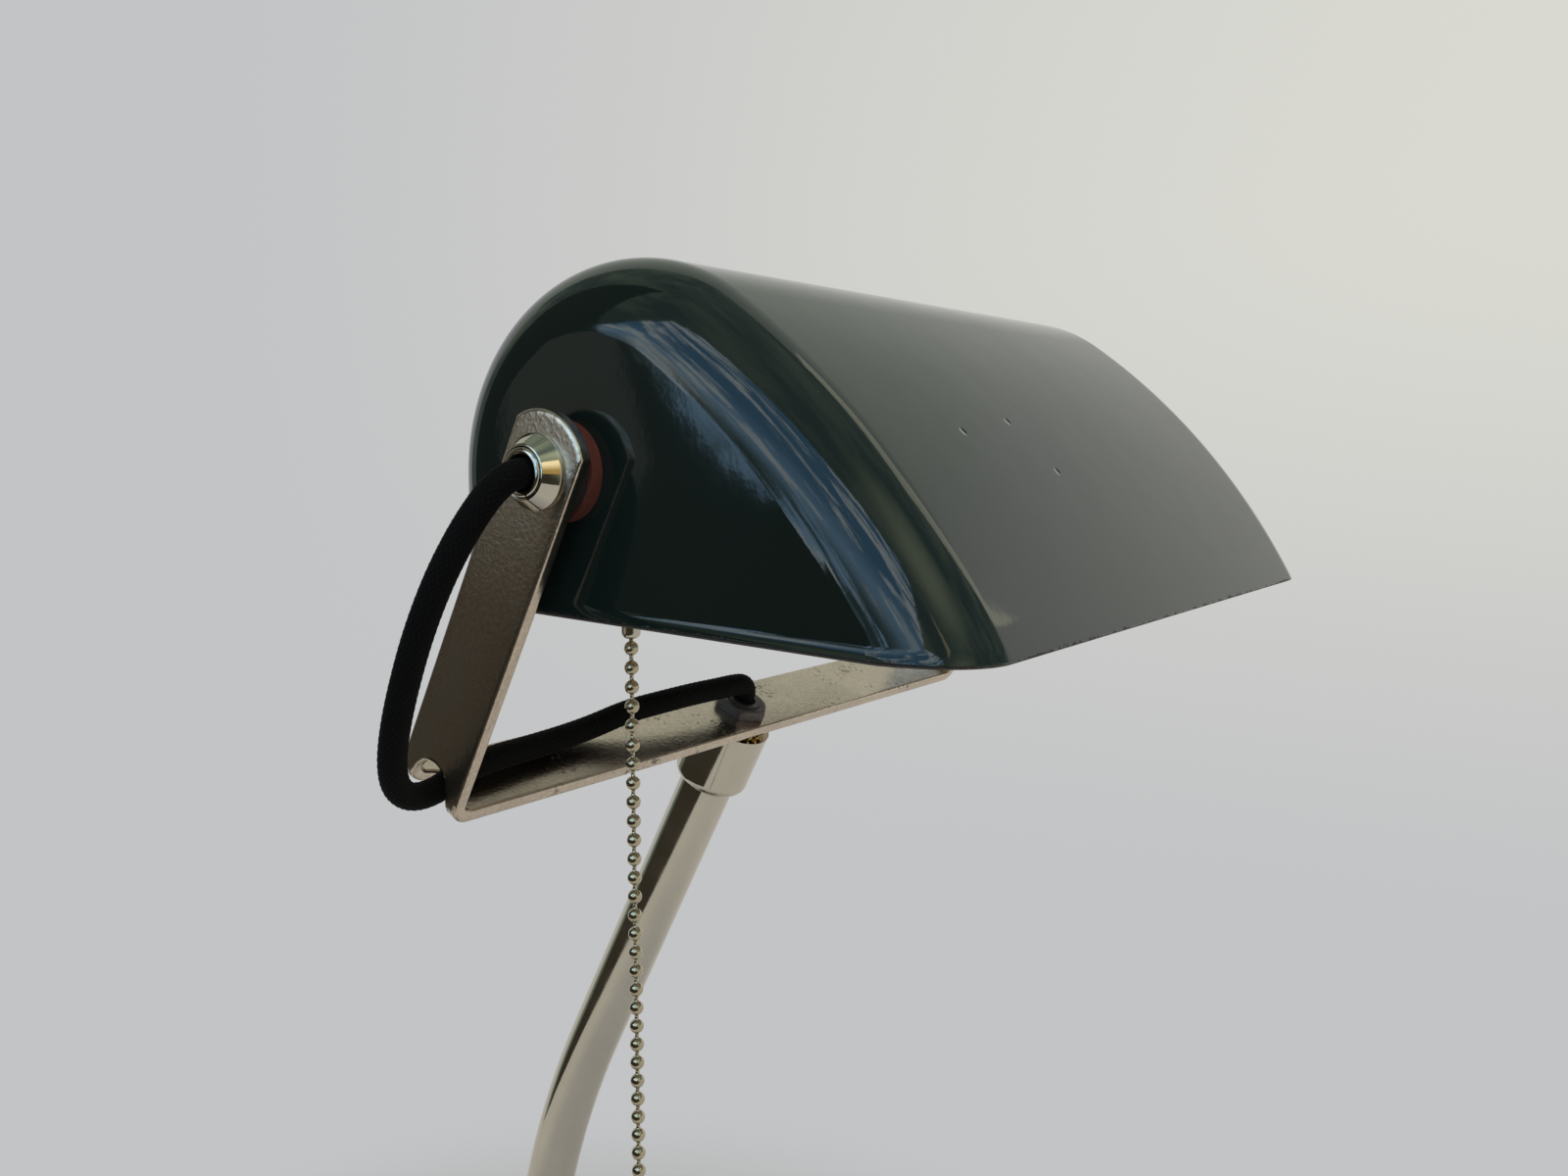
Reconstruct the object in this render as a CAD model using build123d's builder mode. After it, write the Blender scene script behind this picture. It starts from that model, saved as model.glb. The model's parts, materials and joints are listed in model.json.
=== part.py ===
from build123d import *
import os
from math import cos, radians, sin, tan

# A banker desk lamp. An enamelled steel shade tilts between the arms of a strap bracket, which is clamped
# to a leaning tube on a weighted round base. Sizes are in millimetres. The origin is the middle of the
# underside of the base, X runs along the shade, Y points to the back and Z points up.

os.makedirs("parts", exist_ok=True)

# Threaded tube and the fits around it
nipple_diameter = 10.0
nipple_bore = 7.0
nipple_stand_out = 0.5
thread_clearance = 0.1
running_clearance = 0.08
slip_clearance = 0.1

# Shade, seen from its end: back wall, round crown, long curved front, and a short flared rim below them
shade_length = 210.0
shade_wall = 1.2
shade_back_reach = 39.8
shade_crown_radius = 45.6
shade_crown_drop = 1.8
shade_crown_sweep = 124.8
shade_front_radius = 195.0
shade_front_sweep = 26.5
shade_back_depth = 25.9
shade_corner_radius = 16.5
shade_rim_height = 2.2
shade_rim_flare = 1.1
shade_rim_steps = 8

# Strap bracket
strap_width = 20.0
strap_thickness = 3.0
strap_bend_radius = 5.0
arm_end_radius = 12.6
bracket_drop = 82.3
bracket_lean = 27.6
cord_hole_diameter = 12.0

# Pieces on the tilt axis, one of each at both ends
cone_nut_diameter = 15.6
cone_nut_small_diameter = 11.2
cone_nut_height = 3.9
cone_nut_land = 0.7
arm_washer_diameter = 19.0
arm_washer_thickness = 2.0
fibre_washer_diameter = 20.8
fibre_washer_thickness = 3.0
inner_washer_diameter = 20.0
inner_washer_thickness = 1.2
inner_nut_across_flats = 14.0
inner_nut_height = 4.0

# Stem and the clamp at its head
stem_diameter = 16.0
stem_straight = 126.0
stem_bend_radius = 300.0
stem_foot_straight = 16.0
bracket_nut_across_flats = 14.0
bracket_nut_height = 3.0
bracket_nut_face_diameter = 13.2
bracket_nut_chamfer = 30.0
bracket_nut_turn = 37.0
lock_washer_diameter = 17.0
lock_washer_thickness = 2.0
lock_washer_teeth = 20
lock_tooth_size = 1.6
lock_tooth_turn = 45.0
head_collar_diameter = 22.0
head_collar_length = 20.6
head_collar_web = 6.0
head_collar_rounding = 3.0
head_nipple_depth = 16.0
foot_collar_diameter = 28.0
foot_collar_height = 12.0
foot_collar_rounding = 4.0
foot_nipple_depth = 14.0

# Base
base_diameter = 180.0
base_edge_height = 15.0
base_shoulder_radius = 8.0
base_slope = 12.0
base_flat_diameter = 42.0
cover_wall = 1.5
cover_lift = 1.0
weight_clearance = 0.4
felt_thickness = 2.0
felt_inset = 2.0
foot_recess_diameter = 40.0
foot_washer_diameter = 26.0
foot_washer_thickness = 2.0
foot_nut_across_flats = 17.0
foot_nut_height = 6.0
foot_web = 7.0
outlet_height = 8.2
outlet_bush_diameter = 9.2
outlet_flange_diameter = 12.0
outlet_flange_thickness = 3.0
outlet_flange_chamfer = 1.0
outlet_bush_depth = 8.0
outlet_bend_radius = 10.0

# Cord, and the share of each straight run that its bends may use
cord_diameter = 6.2
cord_bend_share = 0.45

# Lampholder and bulb, along the tilt axis inside the left end of the shade
holder_diameter = 36.0
holder_wall = 0.8
holder_hub_diameter = 16.0
holder_hub_length = 4.0
holder_cone_length = 4.0
holder_cap_length = 25.0
switch_block_length = 10.6
shell_length = 40.0
shell_bead = 0.8
insulator_length = 10.0
contact_diameter = 8.0
contact_thickness = 1.5
screw_shell_wall = 0.8
screw_shell_length = 26.0
bulb_cap_diameter = 26.4
bulb_cap_length = 24.5
bulb_cap_taper = 5.0
bulb_clearance = 0.3
bulb_button_diameter = 9.0
bulb_button_length = 2.0
bulb_neck_diameter = 25.4
bulb_diameter = 46.0
bulb_ball_sweep = 120.0
bulb_centre_reach = 34.0
bulb_wall = 0.8

# Pull chain
chain_inset = 19.0
guide_diameter = 6.0
guide_bore = 4.4
guide_mouth_diameter = 8.0
guide_reach = 24.0
guide_flare = 2.0
plunger_diameter = 5.4
plunger_clearance = 0.3
plunger_length = 12.0
link_wire_diameter = 1.2
bead_diameter = 3.2
bead_pitch = 4.3
bead_count = 32
chain_wire_diameter = 0.9
coupling_diameter = 4.2
coupling_length = 8.5
coupling_gap = 0.3
coupling_rounding = 1.4
coupling_shoulder = 0.7
swing_drop = 2.2
pull_diameter = 8.0
pull_length = 15.0
pull_rounding = 1.6

# Places that follow from the sizes above
shade_end = shade_length / 2
wall_inside = shade_end - shade_wall
arm_inside = shade_end + fibre_washer_thickness + arm_washer_thickness
arm_outside = arm_inside + strap_thickness
nipple_end = arm_outside + cone_nut_height + nipple_stand_out
inner_washer_face = wall_inside - inner_washer_thickness
holder_face = inner_washer_face - inner_nut_height
clear_hole_radius = nipple_diameter / 2 + thread_clearance
pivot_hole_radius = nipple_diameter / 2 + running_clearance

base_radius = base_diameter / 2
base_flat_radius = base_flat_diameter / 2
base_cone_radius = base_radius - base_shoulder_radius + base_shoulder_radius * sin(radians(base_slope))
base_cone_height = base_edge_height + base_shoulder_radius * cos(radians(base_slope))
base_height = base_cone_height + (base_cone_radius - base_flat_radius) * tan(radians(base_slope))
weight_top = base_height - cover_wall
foot_recess_top = weight_top - foot_web
foot_nut_top = foot_recess_top - foot_washer_thickness
foot_nipple_end = foot_nut_top - foot_nut_height - nipple_stand_out

lean = radians(bracket_lean)
stem_bend_top = base_height + stem_foot_straight + stem_bend_radius * sin(lean)
pivot_y = -stem_bend_radius * (1 - cos(lean)) - (stem_straight + bracket_drop) * sin(lean)
pivot_z = stem_bend_top + (stem_straight + bracket_drop) * cos(lean)
pivot = Vector(0, pivot_y, pivot_z)
pivot_axis = Axis(pivot, (1, 0, 0))

# The bracket's own directions: its local X is the tilt axis and its local Z runs up along the arms
bracket = Plane(origin=pivot, x_dir=(1, 0, 0), z_dir=(0, -sin(lean), cos(lean)))
bar_under = bracket.offset(-bracket_drop)
bar_top = bar_under.offset(strap_thickness)
# The lamp seen from the front, centred on the tilt axis
front_view = Plane(origin=pivot, x_dir=(1, 0, 0), z_dir=(0, -1, 0))


def across(x, facing=1):
    """Give the plane square to the tilt axis at a distance along it, facing along plus or minus X."""
    return Plane(origin=(x, pivot_y, pivot_z), x_dir=(0, 1, 0), z_dir=(facing, 0, 0))


# The place in the back edge of the base where the mains lead leaves
back_edge = Plane(origin=(0, base_radius, outlet_height), x_dir=(1, 0, 0), z_dir=(0, 1, 0))

# Base cover: a spun shell with an upright edge, a round shoulder and a shallow cone
with BuildPart() as base_cover:
    with BuildSketch(Plane.XZ):
        with BuildLine():
            edge = Line((base_radius, cover_lift), (base_radius, base_edge_height))
            shoulder = JernArc(edge @ 1, (0, 1), base_shoulder_radius, 90 - base_slope)
            cone = Line(shoulder @ 1, (base_flat_radius, base_height))
            Polyline(cone @ 1, (0, base_height), (0, cover_lift), edge @ 0)
        make_face()
    revolve(axis=Axis.Z)
    offset(amount=-cover_wall, openings=base_cover.faces().sort_by(Axis.Z)[0])
    with Locations((0, 0, base_height)):
        Hole(clear_hole_radius, depth=2 * cover_wall)
    with BuildSketch(back_edge):
        Circle(outlet_bush_diameter / 2 + slip_clearance)
    extrude(amount=-2 * cover_wall, mode=Mode.SUBTRACT)
base_cover.part.label = "base_cover"
export_step(base_cover.part, "parts/base_cover.step")

# Cast weight: fills the cover, with a recess under the stem and a channel for the lead to the back
weight_radius = base_radius - cover_wall - weight_clearance
weight_drop = cover_wall / cos(radians(base_slope)) + weight_clearance
weight_shoulder_radius = weight_radius - base_shoulder_radius
weight_shoulder = base_cone_height + (base_cone_radius - weight_shoulder_radius) * tan(radians(base_slope))
channel_width = outlet_bush_diameter + 4 * slip_clearance
channel_top = outlet_height + channel_width / 2
with BuildPart() as base_weight:
    with BuildSketch(Plane.XZ):
        with BuildLine():
            Polyline(
                (clear_hole_radius, felt_thickness),
                (weight_radius, felt_thickness),
                (weight_radius, base_edge_height),
                (weight_shoulder_radius, weight_shoulder - weight_drop),
                (base_flat_radius + weight_clearance, weight_top - weight_clearance),
                (base_flat_radius - cover_wall, weight_top),
                (clear_hole_radius, weight_top),
                close=True,
            )
        make_face()
    revolve(axis=Axis.Z)
    with BuildSketch(Plane.XY.offset(felt_thickness)):
        Circle(foot_recess_diameter / 2)
    extrude(amount=foot_recess_top - felt_thickness, mode=Mode.SUBTRACT)
    with BuildSketch(Plane.XY.offset(felt_thickness)):
        with Locations((0, base_radius / 2)):
            Rectangle(channel_width, base_radius)
    extrude(amount=channel_top - felt_thickness, mode=Mode.SUBTRACT)
base_weight.part.label = "base_weight"
export_step(base_weight.part, "parts/base_weight.step")

# Felt disc that the lamp stands on
with BuildPart() as base_felt:
    with BuildSketch(Plane.XY):
        Circle(weight_radius - felt_inset)
    extrude(amount=felt_thickness)
base_felt.part.label = "base_felt"
export_step(base_felt.part, "parts/base_felt.step")

# Bush in the back edge of the cover, where the mains lead leaves
with BuildPart() as outlet_bush:
    with BuildSketch(back_edge):
        Circle(outlet_flange_diameter / 2)
    extrude(amount=outlet_flange_thickness)
    chamfer(outlet_bush.faces().sort_by(Axis.Y)[-1].edges(), outlet_flange_chamfer)
    with BuildSketch(back_edge):
        Circle(outlet_bush_diameter / 2)
    extrude(amount=-outlet_bush_depth)
    with BuildSketch(back_edge.offset(-outlet_bush_depth)):
        Circle(cord_diameter / 2 + slip_clearance)
    extrude(amount=outlet_bush_depth + outlet_flange_thickness, mode=Mode.SUBTRACT)
outlet_bush.part.label = "cord_outlet_bush"
export_step(outlet_bush.part, "parts/cord_outlet_bush.step")

# Foot nipple, with the washer and nut that pull the stem down on the base
with BuildPart() as foot_nipple:
    with BuildSketch(Plane.XY.offset(foot_nipple_end)):
        Circle(nipple_diameter / 2)
        Circle(nipple_bore / 2, mode=Mode.SUBTRACT)
    extrude(amount=base_height + foot_nipple_depth - foot_nipple_end)
foot_nipple.part.label = "stem_foot_nipple"
export_step(foot_nipple.part, "parts/stem_foot_nipple.step")

with BuildPart() as foot_washer:
    with BuildSketch(Plane.XY.offset(foot_nut_top)):
        Circle(foot_washer_diameter / 2)
        Circle(clear_hole_radius, mode=Mode.SUBTRACT)
    extrude(amount=foot_washer_thickness)
foot_washer.part.label = "foot_washer"
export_step(foot_washer.part, "parts/foot_washer.step")

with BuildPart() as foot_nut:
    with BuildSketch(Plane.XY.offset(foot_nut_top)):
        RegularPolygon(foot_nut_across_flats / 2, 6, major_radius=False)
        Circle(clear_hole_radius, mode=Mode.SUBTRACT)
    extrude(amount=-foot_nut_height)
foot_nut.part.label = "foot_nut"
export_step(foot_nut.part, "parts/foot_nut.step")

# Collar round the foot of the stem
with BuildPart() as foot_collar:
    with BuildSketch(Plane.XY.offset(base_height)):
        Circle(foot_collar_diameter / 2)
    extrude(amount=foot_collar_height)
    fillet(foot_collar.faces().sort_by(Axis.Z)[-1].edges(), foot_collar_rounding)
    with BuildSketch(Plane.XY.offset(base_height)):
        Circle(stem_diameter / 2 + slip_clearance)
    extrude(amount=foot_collar_height, mode=Mode.SUBTRACT)
foot_collar.part.label = "stem_foot_collar"
export_step(foot_collar.part, "parts/stem_foot_collar.step")

# Stem: upright at its foot, bent forward, then straight up into the head collar
stem_top_gap = lock_washer_thickness + head_collar_web
with BuildPart() as stem:
    with BuildLine(Plane.YZ) as stem_axis:
        foot_run = Line((0, base_height), (0, base_height + stem_foot_straight))
        stem_bend = JernArc(foot_run @ 1, (0, 1), stem_bend_radius, bracket_lean)
        PolarLine(stem_bend @ 1, stem_straight - stem_top_gap, 90 + bracket_lean)
    with BuildSketch(Plane.XY.offset(base_height)):
        Circle(stem_diameter / 2)
        Circle(clear_hole_radius, mode=Mode.SUBTRACT)
    sweep(path=stem_axis.wires()[0])
stem.part.label = "stem_tube"
export_step(stem.part, "parts/stem_tube.step")

# Collar at the head of the stem, with a socket for the tube below its web
collar_top = bar_under.offset(-lock_washer_thickness)
with BuildPart() as head_collar:
    with BuildSketch(collar_top):
        Circle(head_collar_diameter / 2)
    extrude(amount=-head_collar_length)
    fillet(head_collar.faces().sort_by(Axis(pivot, bracket.z_dir))[0].edges(), head_collar_rounding)
    with BuildSketch(collar_top):
        Circle(clear_hole_radius)
    extrude(amount=-head_collar_length, mode=Mode.SUBTRACT)
    with BuildSketch(collar_top.offset(-head_collar_web)):
        Circle(stem_diameter / 2 + slip_clearance)
    extrude(amount=-head_collar_length, mode=Mode.SUBTRACT)
head_collar.part.label = "stem_head_collar"
export_step(head_collar.part, "parts/stem_head_collar.step")

# Toothed lock washer between the collar and the bracket
with BuildPart() as lock_washer:
    with BuildSketch(collar_top):
        Circle(lock_washer_diameter / 2)
        with PolarLocations(lock_washer_diameter / 2, lock_washer_teeth):
            Rectangle(lock_tooth_size, lock_tooth_size, rotation=lock_tooth_turn)
        Circle(clear_hole_radius, mode=Mode.SUBTRACT)
    extrude(amount=lock_washer_thickness)
lock_washer.part.label = "bracket_lock_washer"
export_step(lock_washer.part, "parts/bracket_lock_washer.step")

# Head nipple, screwed into the stem and held on the bracket by a thin hex nut
head_nipple_top = strap_thickness + bracket_nut_height + nipple_stand_out
with BuildPart() as head_nipple:
    with BuildSketch(bar_under.offset(head_nipple_top)):
        Circle(nipple_diameter / 2)
        Circle(nipple_bore / 2, mode=Mode.SUBTRACT)
    extrude(amount=-(head_nipple_top + stem_top_gap + head_nipple_depth))
head_nipple.part.label = "stem_head_nipple"
export_step(head_nipple.part, "parts/stem_head_nipple.step")

with BuildPart() as bracket_nut:
    with BuildSketch(bar_top):
        RegularPolygon(bracket_nut_across_flats / 2, 6, major_radius=False, rotation=bracket_nut_turn)
        Circle(clear_hole_radius, mode=Mode.SUBTRACT)
    extrude(amount=bracket_nut_height)
    with BuildSketch(bar_top.offset(bracket_nut_height)):
        Circle(bracket_nut_face_diameter / 2)
    extrude(amount=-bracket_nut_height, taper=bracket_nut_chamfer - 90, mode=Mode.INTERSECT)
bracket_nut.part.label = "bracket_nut"
export_step(bracket_nut.part, "parts/bracket_nut.step")

# Strap bracket: a flat strap bent to a U, with round arm ends and a cord hole through its left bend
bend_centre = arm_outside - strap_bend_radius
bend_height = strap_bend_radius - bracket_drop
strap_side = Plane(origin=pivot, x_dir=(1, 0, 0), z_dir=-bracket.y_dir)
with BuildPart() as strap:
    with BuildSketch(strap_side):
        with BuildLine():
            Polyline(
                (-arm_outside, arm_end_radius),
                (-arm_outside, -bracket_drop),
                (arm_outside, -bracket_drop),
                (arm_outside, arm_end_radius),
                (arm_inside, arm_end_radius),
                (arm_inside, strap_thickness - bracket_drop),
                (-arm_inside, strap_thickness - bracket_drop),
                (-arm_inside, arm_end_radius),
                close=True,
            )
        make_face()
    extrude(amount=strap_width / 2, both=True)
    for bend_x in (-arm_outside, arm_outside):
        outer_corner = bracket.from_local_coords((bend_x, 0, -bracket_drop))
        fillet(strap.edges().sort_by_distance(outer_corner)[0], strap_bend_radius)
    for bend_x in (-arm_inside, arm_inside):
        inner_corner = bracket.from_local_coords((bend_x, 0, strap_thickness - bracket_drop))
        fillet(strap.edges().sort_by_distance(inner_corner)[0], strap_bend_radius - strap_thickness)
    with BuildSketch(Plane(origin=pivot - (arm_outside, 0, 0), x_dir=bracket.y_dir, z_dir=(1, 0, 0))):
        Circle(arm_end_radius)
        with Locations((0, -bracket_drop / 2)):
            Rectangle(strap_width, bracket_drop)
    extrude(amount=2 * arm_outside, mode=Mode.INTERSECT)
    with BuildSketch(across(-arm_outside)):
        Circle(pivot_hole_radius)
    extrude(amount=2 * arm_outside, mode=Mode.SUBTRACT)
    with BuildSketch(bar_under):
        Circle(clear_hole_radius)
    extrude(amount=strap_thickness, mode=Mode.SUBTRACT)
    cord_hole_point = bracket.from_local_coords((-bend_centre, 0, bend_height))
    cord_hole_way = bracket.z_dir + bracket.x_dir
    with BuildSketch(Plane(origin=cord_hole_point, x_dir=bracket.y_dir, z_dir=cord_hole_way)):
        Circle(cord_hole_diameter / 2)
    extrude(amount=2 * strap_bend_radius, both=True, mode=Mode.SUBTRACT)
strap.part.label = "bracket_strap"
export_step(strap.part, "parts/bracket_strap.step")

# Shade: the end outline drawn along X, rounded at both ends, hollowed from below and flared along its rim
with BuildPart() as shade:
    with BuildSketch(across(-shade_end)):
        with BuildLine():
            back = Line((shade_back_reach, -shade_back_depth), (shade_back_reach, -shade_crown_drop))
            crown = JernArc(back @ 1, (0, 1), shade_crown_radius, shade_crown_sweep)
            front = JernArc(crown @ 1, crown % 1, shade_front_radius, shade_front_sweep)
            Line(front @ 1, back @ 0)
        make_face()
    extrude(amount=shade_length)
    underside = shade.faces().sort_by(Axis.Z)[0]
    end_edges = shade.faces().sort_by(Axis.X)[0].edges() + shade.faces().sort_by(Axis.X)[-1].edges()
    fillet([edge for edge in end_edges if edge not in underside.edges()], shade_corner_radius)
    offset(amount=-shade_wall, openings=shade.faces().sort_by(Axis.Z)[0])
    with BuildSketch(across(-shade_end)):
        Circle(clear_hole_radius)
    extrude(amount=shade_length, mode=Mode.SUBTRACT)
    rim = shade.faces().sort_by(Axis.Z)[0]
    rim_drop = Location(rim.normal_at() * shade_rim_height)
    lip_steps = [step / shade_rim_steps for step in range(1, shade_rim_steps)]
    for rim_edge, rim_mode in ((rim.outer_wire(), Mode.ADD), (rim.inner_wires()[0], Mode.SUBTRACT)):
        lip_edges = rim_edge.offset_2d(shade_rim_flare, kind=Kind.INTERSECTION).moved(rim_drop).edges()
        lip_sides = lip_edges.filter_by(GeomType.LINE)
        lip_corners = [edge for edge in lip_edges - lip_sides if edge.length > shade_rim_height]
        with BuildLine(mode=Mode.PRIVATE) as lip:
            for side in lip_sides:
                Line(side @ 0, side @ 1)
            for corner in lip_corners:
                start, stop = [lip_sides.vertices().sort_by_distance(corner @ end)[0] for end in (0, 1)]
                between = [corner @ step for step in lip_steps]
                Spline(start, *between, stop, tangents=(corner % 0, corner % 1))
        loft([Face(rim_edge), Face(lip.wires()[0])], ruled=True, mode=rim_mode)
shade.part.label = "shade_shell"
export_step(shade.part, "parts/shade_shell.step")

# Tilt axis: the same stack of pieces at the left and the right end
for end_name, facing, reach in (("left", -1, holder_hub_length), ("right", 1, nipple_stand_out)):
    with BuildPart() as nipple:
        with BuildSketch(across(facing * nipple_end, facing)):
            Circle(nipple_diameter / 2)
            Circle(nipple_bore / 2, mode=Mode.SUBTRACT)
        extrude(amount=holder_face - reach - nipple_end)
    nipple.part.label = f"{end_name}_nipple"
    export_step(nipple.part, f"parts/{end_name}_nipple.step")

    with BuildPart() as cone_nut:
        with BuildSketch(front_view):
            with BuildLine():
                Polyline(
                    (facing * arm_outside, clear_hole_radius),
                    (facing * arm_outside, cone_nut_diameter / 2),
                    (facing * (arm_outside + cone_nut_land), cone_nut_diameter / 2),
                    (facing * (arm_outside + cone_nut_height), cone_nut_small_diameter / 2),
                    (facing * (arm_outside + cone_nut_height), clear_hole_radius),
                    close=True,
                )
            make_face()
        revolve(axis=pivot_axis)
    cone_nut.part.label = f"{end_name}_cone_nut"
    export_step(cone_nut.part, f"parts/{end_name}_cone_nut.step")

    with BuildPart() as arm_washer:
        with BuildSketch(across(facing * arm_inside, facing)):
            Circle(arm_washer_diameter / 2)
            Circle(pivot_hole_radius, mode=Mode.SUBTRACT)
        extrude(amount=-arm_washer_thickness)
    arm_washer.part.label = f"{end_name}_arm_washer"
    export_step(arm_washer.part, f"parts/{end_name}_arm_washer.step")

    with BuildPart() as fibre_washer:
        with BuildSketch(across(facing * shade_end, facing)):
            Circle(fibre_washer_diameter / 2)
            Circle(clear_hole_radius, mode=Mode.SUBTRACT)
        extrude(amount=fibre_washer_thickness)
    fibre_washer.part.label = f"{end_name}_fibre_washer"
    export_step(fibre_washer.part, f"parts/{end_name}_fibre_washer.step")

    with BuildPart() as inner_washer:
        with BuildSketch(across(facing * wall_inside, facing)):
            Circle(inner_washer_diameter / 2)
            Circle(clear_hole_radius, mode=Mode.SUBTRACT)
        extrude(amount=-inner_washer_thickness)
    inner_washer.part.label = f"{end_name}_inner_washer"
    export_step(inner_washer.part, f"parts/{end_name}_inner_washer.step")

    with BuildPart() as inner_nut:
        with BuildSketch(across(facing * inner_washer_face, facing)):
            RegularPolygon(inner_nut_across_flats / 2, 6, major_radius=False)
            Circle(clear_hole_radius, mode=Mode.SUBTRACT)
        extrude(amount=-inner_nut_height)
    inner_nut.part.label = f"{end_name}_inner_nut"
    export_step(inner_nut.part, f"parts/{end_name}_inner_nut.step")

# Lampholder cap: a hub on the left nipple that widens to a thin skirt, with a hole for the chain guide
holder_radius = holder_diameter / 2
skirt_start = holder_face - holder_hub_length - holder_cone_length
chain_x = -(shade_end - chain_inset)
chain_line = Plane(origin=(chain_x, pivot_y, pivot_z), x_dir=(1, 0, 0), z_dir=(0, 0, -1))
with BuildPart() as holder_cap:
    with BuildSketch(front_view):
        with BuildLine():
            Polyline(
                (-holder_face, clear_hole_radius),
                (-holder_face, holder_hub_diameter / 2),
                (holder_hub_length - holder_face, holder_hub_diameter / 2),
                (-skirt_start, holder_radius),
                (holder_cap_length - holder_face, holder_radius),
                (holder_cap_length - holder_face, holder_radius - holder_wall),
                (-skirt_start, holder_radius - holder_wall),
                (holder_hub_length - holder_face, clear_hole_radius),
                close=True,
            )
        make_face()
    revolve(axis=pivot_axis)
    with BuildSketch(chain_line):
        Circle(guide_diameter / 2 + slip_clearance)
    extrude(amount=holder_radius, mode=Mode.SUBTRACT)
holder_cap.part.label = "holder_cap"
export_step(holder_cap.part, "parts/holder_cap.step")

# Switch block: fills the cap behind the terminals, bored for the plunger that the chain pulls
holder_inside = holder_radius - holder_wall - slip_clearance
block_face = skirt_start - switch_block_length
plunger_top = plunger_length / 2
with BuildPart() as switch_block:
    with BuildSketch(across(-skirt_start)):
        Circle(holder_inside)
    extrude(amount=switch_block_length)
    with BuildSketch(chain_line.offset(-plunger_top)):
        Circle(plunger_diameter / 2 + plunger_clearance)
    extrude(amount=holder_diameter, mode=Mode.SUBTRACT)
switch_block.part.label = "switch_block"
export_step(switch_block.part, "parts/switch_block.step")

# Guide: a short tube with a bell mouth that leads the chain out of the cap
with BuildPart() as guide:
    with BuildSketch(Plane(origin=chain_line.origin, x_dir=(1, 0, 0), z_dir=(0, -1, 0))):
        with BuildLine():
            Polyline(
                (guide_bore / 2, -holder_inside),
                (guide_diameter / 2, -holder_inside),
                (guide_diameter / 2, guide_flare - guide_reach),
                (guide_mouth_diameter / 2, -guide_reach),
                (guide_mouth_diameter / 2 - (guide_diameter - guide_bore) / 2, -guide_reach),
                (guide_bore / 2, guide_flare - guide_reach),
                close=True,
            )
        make_face()
    revolve(axis=Axis(chain_line.origin, (0, 0, 1)))
guide.part.label = "chain_guide"
export_step(guide.part, "parts/chain_guide.step")

# Outer shell of the lampholder, inside the cap's skirt, with a bead round its mouth
shell_end = block_face - shell_length
with BuildPart() as holder_shell:
    with BuildSketch(across(-block_face)):
        Circle(holder_inside)
    extrude(amount=shell_length)
    with BuildSketch(across(-shell_end)):
        Circle(holder_inside + shell_bead)
    extrude(amount=-2 * shell_bead)
    with BuildSketch(across(-block_face)):
        Circle(holder_inside - holder_wall)
    extrude(amount=shell_length, mode=Mode.SUBTRACT)
holder_shell.part.label = "holder_shell"
export_step(holder_shell.part, "parts/holder_shell.step")

# Porcelain insulator, centre contact and screw shell
with BuildPart() as insulator:
    with BuildSketch(across(-block_face)):
        Circle(holder_inside - holder_wall - slip_clearance)
    extrude(amount=insulator_length)
insulator.part.label = "holder_insulator"
export_step(insulator.part, "parts/holder_insulator.step")

insulator_face = block_face - insulator_length
with BuildPart() as centre_contact:
    with BuildSketch(across(-insulator_face)):
        Circle(contact_diameter / 2)
    extrude(amount=contact_thickness)
centre_contact.part.label = "holder_contact"
export_step(centre_contact.part, "parts/holder_contact.step")

screw_shell_radius = bulb_cap_diameter / 2 + bulb_clearance
with BuildPart() as screw_shell:
    with BuildSketch(across(-insulator_face)):
        Circle(screw_shell_radius + screw_shell_wall)
        Circle(screw_shell_radius, mode=Mode.SUBTRACT)
    extrude(amount=screw_shell_length)
screw_shell.part.label = "holder_screw_shell"
export_step(screw_shell.part, "parts/holder_screw_shell.step")

# Bulb: contact button, screw cap and a glass that swells from the neck to a ball
button_face = insulator_face - contact_thickness
bulb_cap_face = button_face - bulb_button_length
bulb_cap_end = bulb_cap_face - bulb_cap_length
with BuildPart() as bulb_button:
    with BuildSketch(across(-button_face)):
        Circle(bulb_button_diameter / 2)
    extrude(amount=bulb_button_length)
bulb_button.part.label = "bulb_contact"
export_step(bulb_button.part, "parts/bulb_contact.step")

with BuildPart() as bulb_cap:
    with BuildSketch(front_view):
        with BuildLine():
            Polyline(
                (-bulb_cap_face, 0),
                (-bulb_cap_face, bulb_button_diameter / 2),
                (bulb_cap_taper - bulb_cap_face, bulb_cap_diameter / 2),
                (-bulb_cap_end, bulb_cap_diameter / 2),
                (-bulb_cap_end, 0),
                close=True,
            )
        make_face()
    revolve(axis=pivot_axis)
bulb_cap.part.label = "bulb_cap"
export_step(bulb_cap.part, "parts/bulb_cap.step")

bulb_centre = bulb_centre_reach - bulb_cap_end
with BuildPart() as bulb_glass:
    with BuildSketch(front_view):
        with BuildLine():
            ball = CenterArc((bulb_centre, 0), bulb_diameter / 2, 0, bulb_ball_sweep)
            neck = Line((-bulb_cap_end, 0), (-bulb_cap_end, bulb_neck_diameter / 2))
            TangentArc(ball @ 1, neck @ 1, tangent=ball % 1)
            Line(neck @ 0, ball @ 0)
        make_face()
    revolve(axis=pivot_axis)
    offset(amount=-bulb_wall, openings=bulb_glass.faces().sort_by(Axis.X)[0])
bulb_glass.part.label = "bulb_glass"
export_step(bulb_glass.part, "parts/bulb_glass.step")

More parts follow.
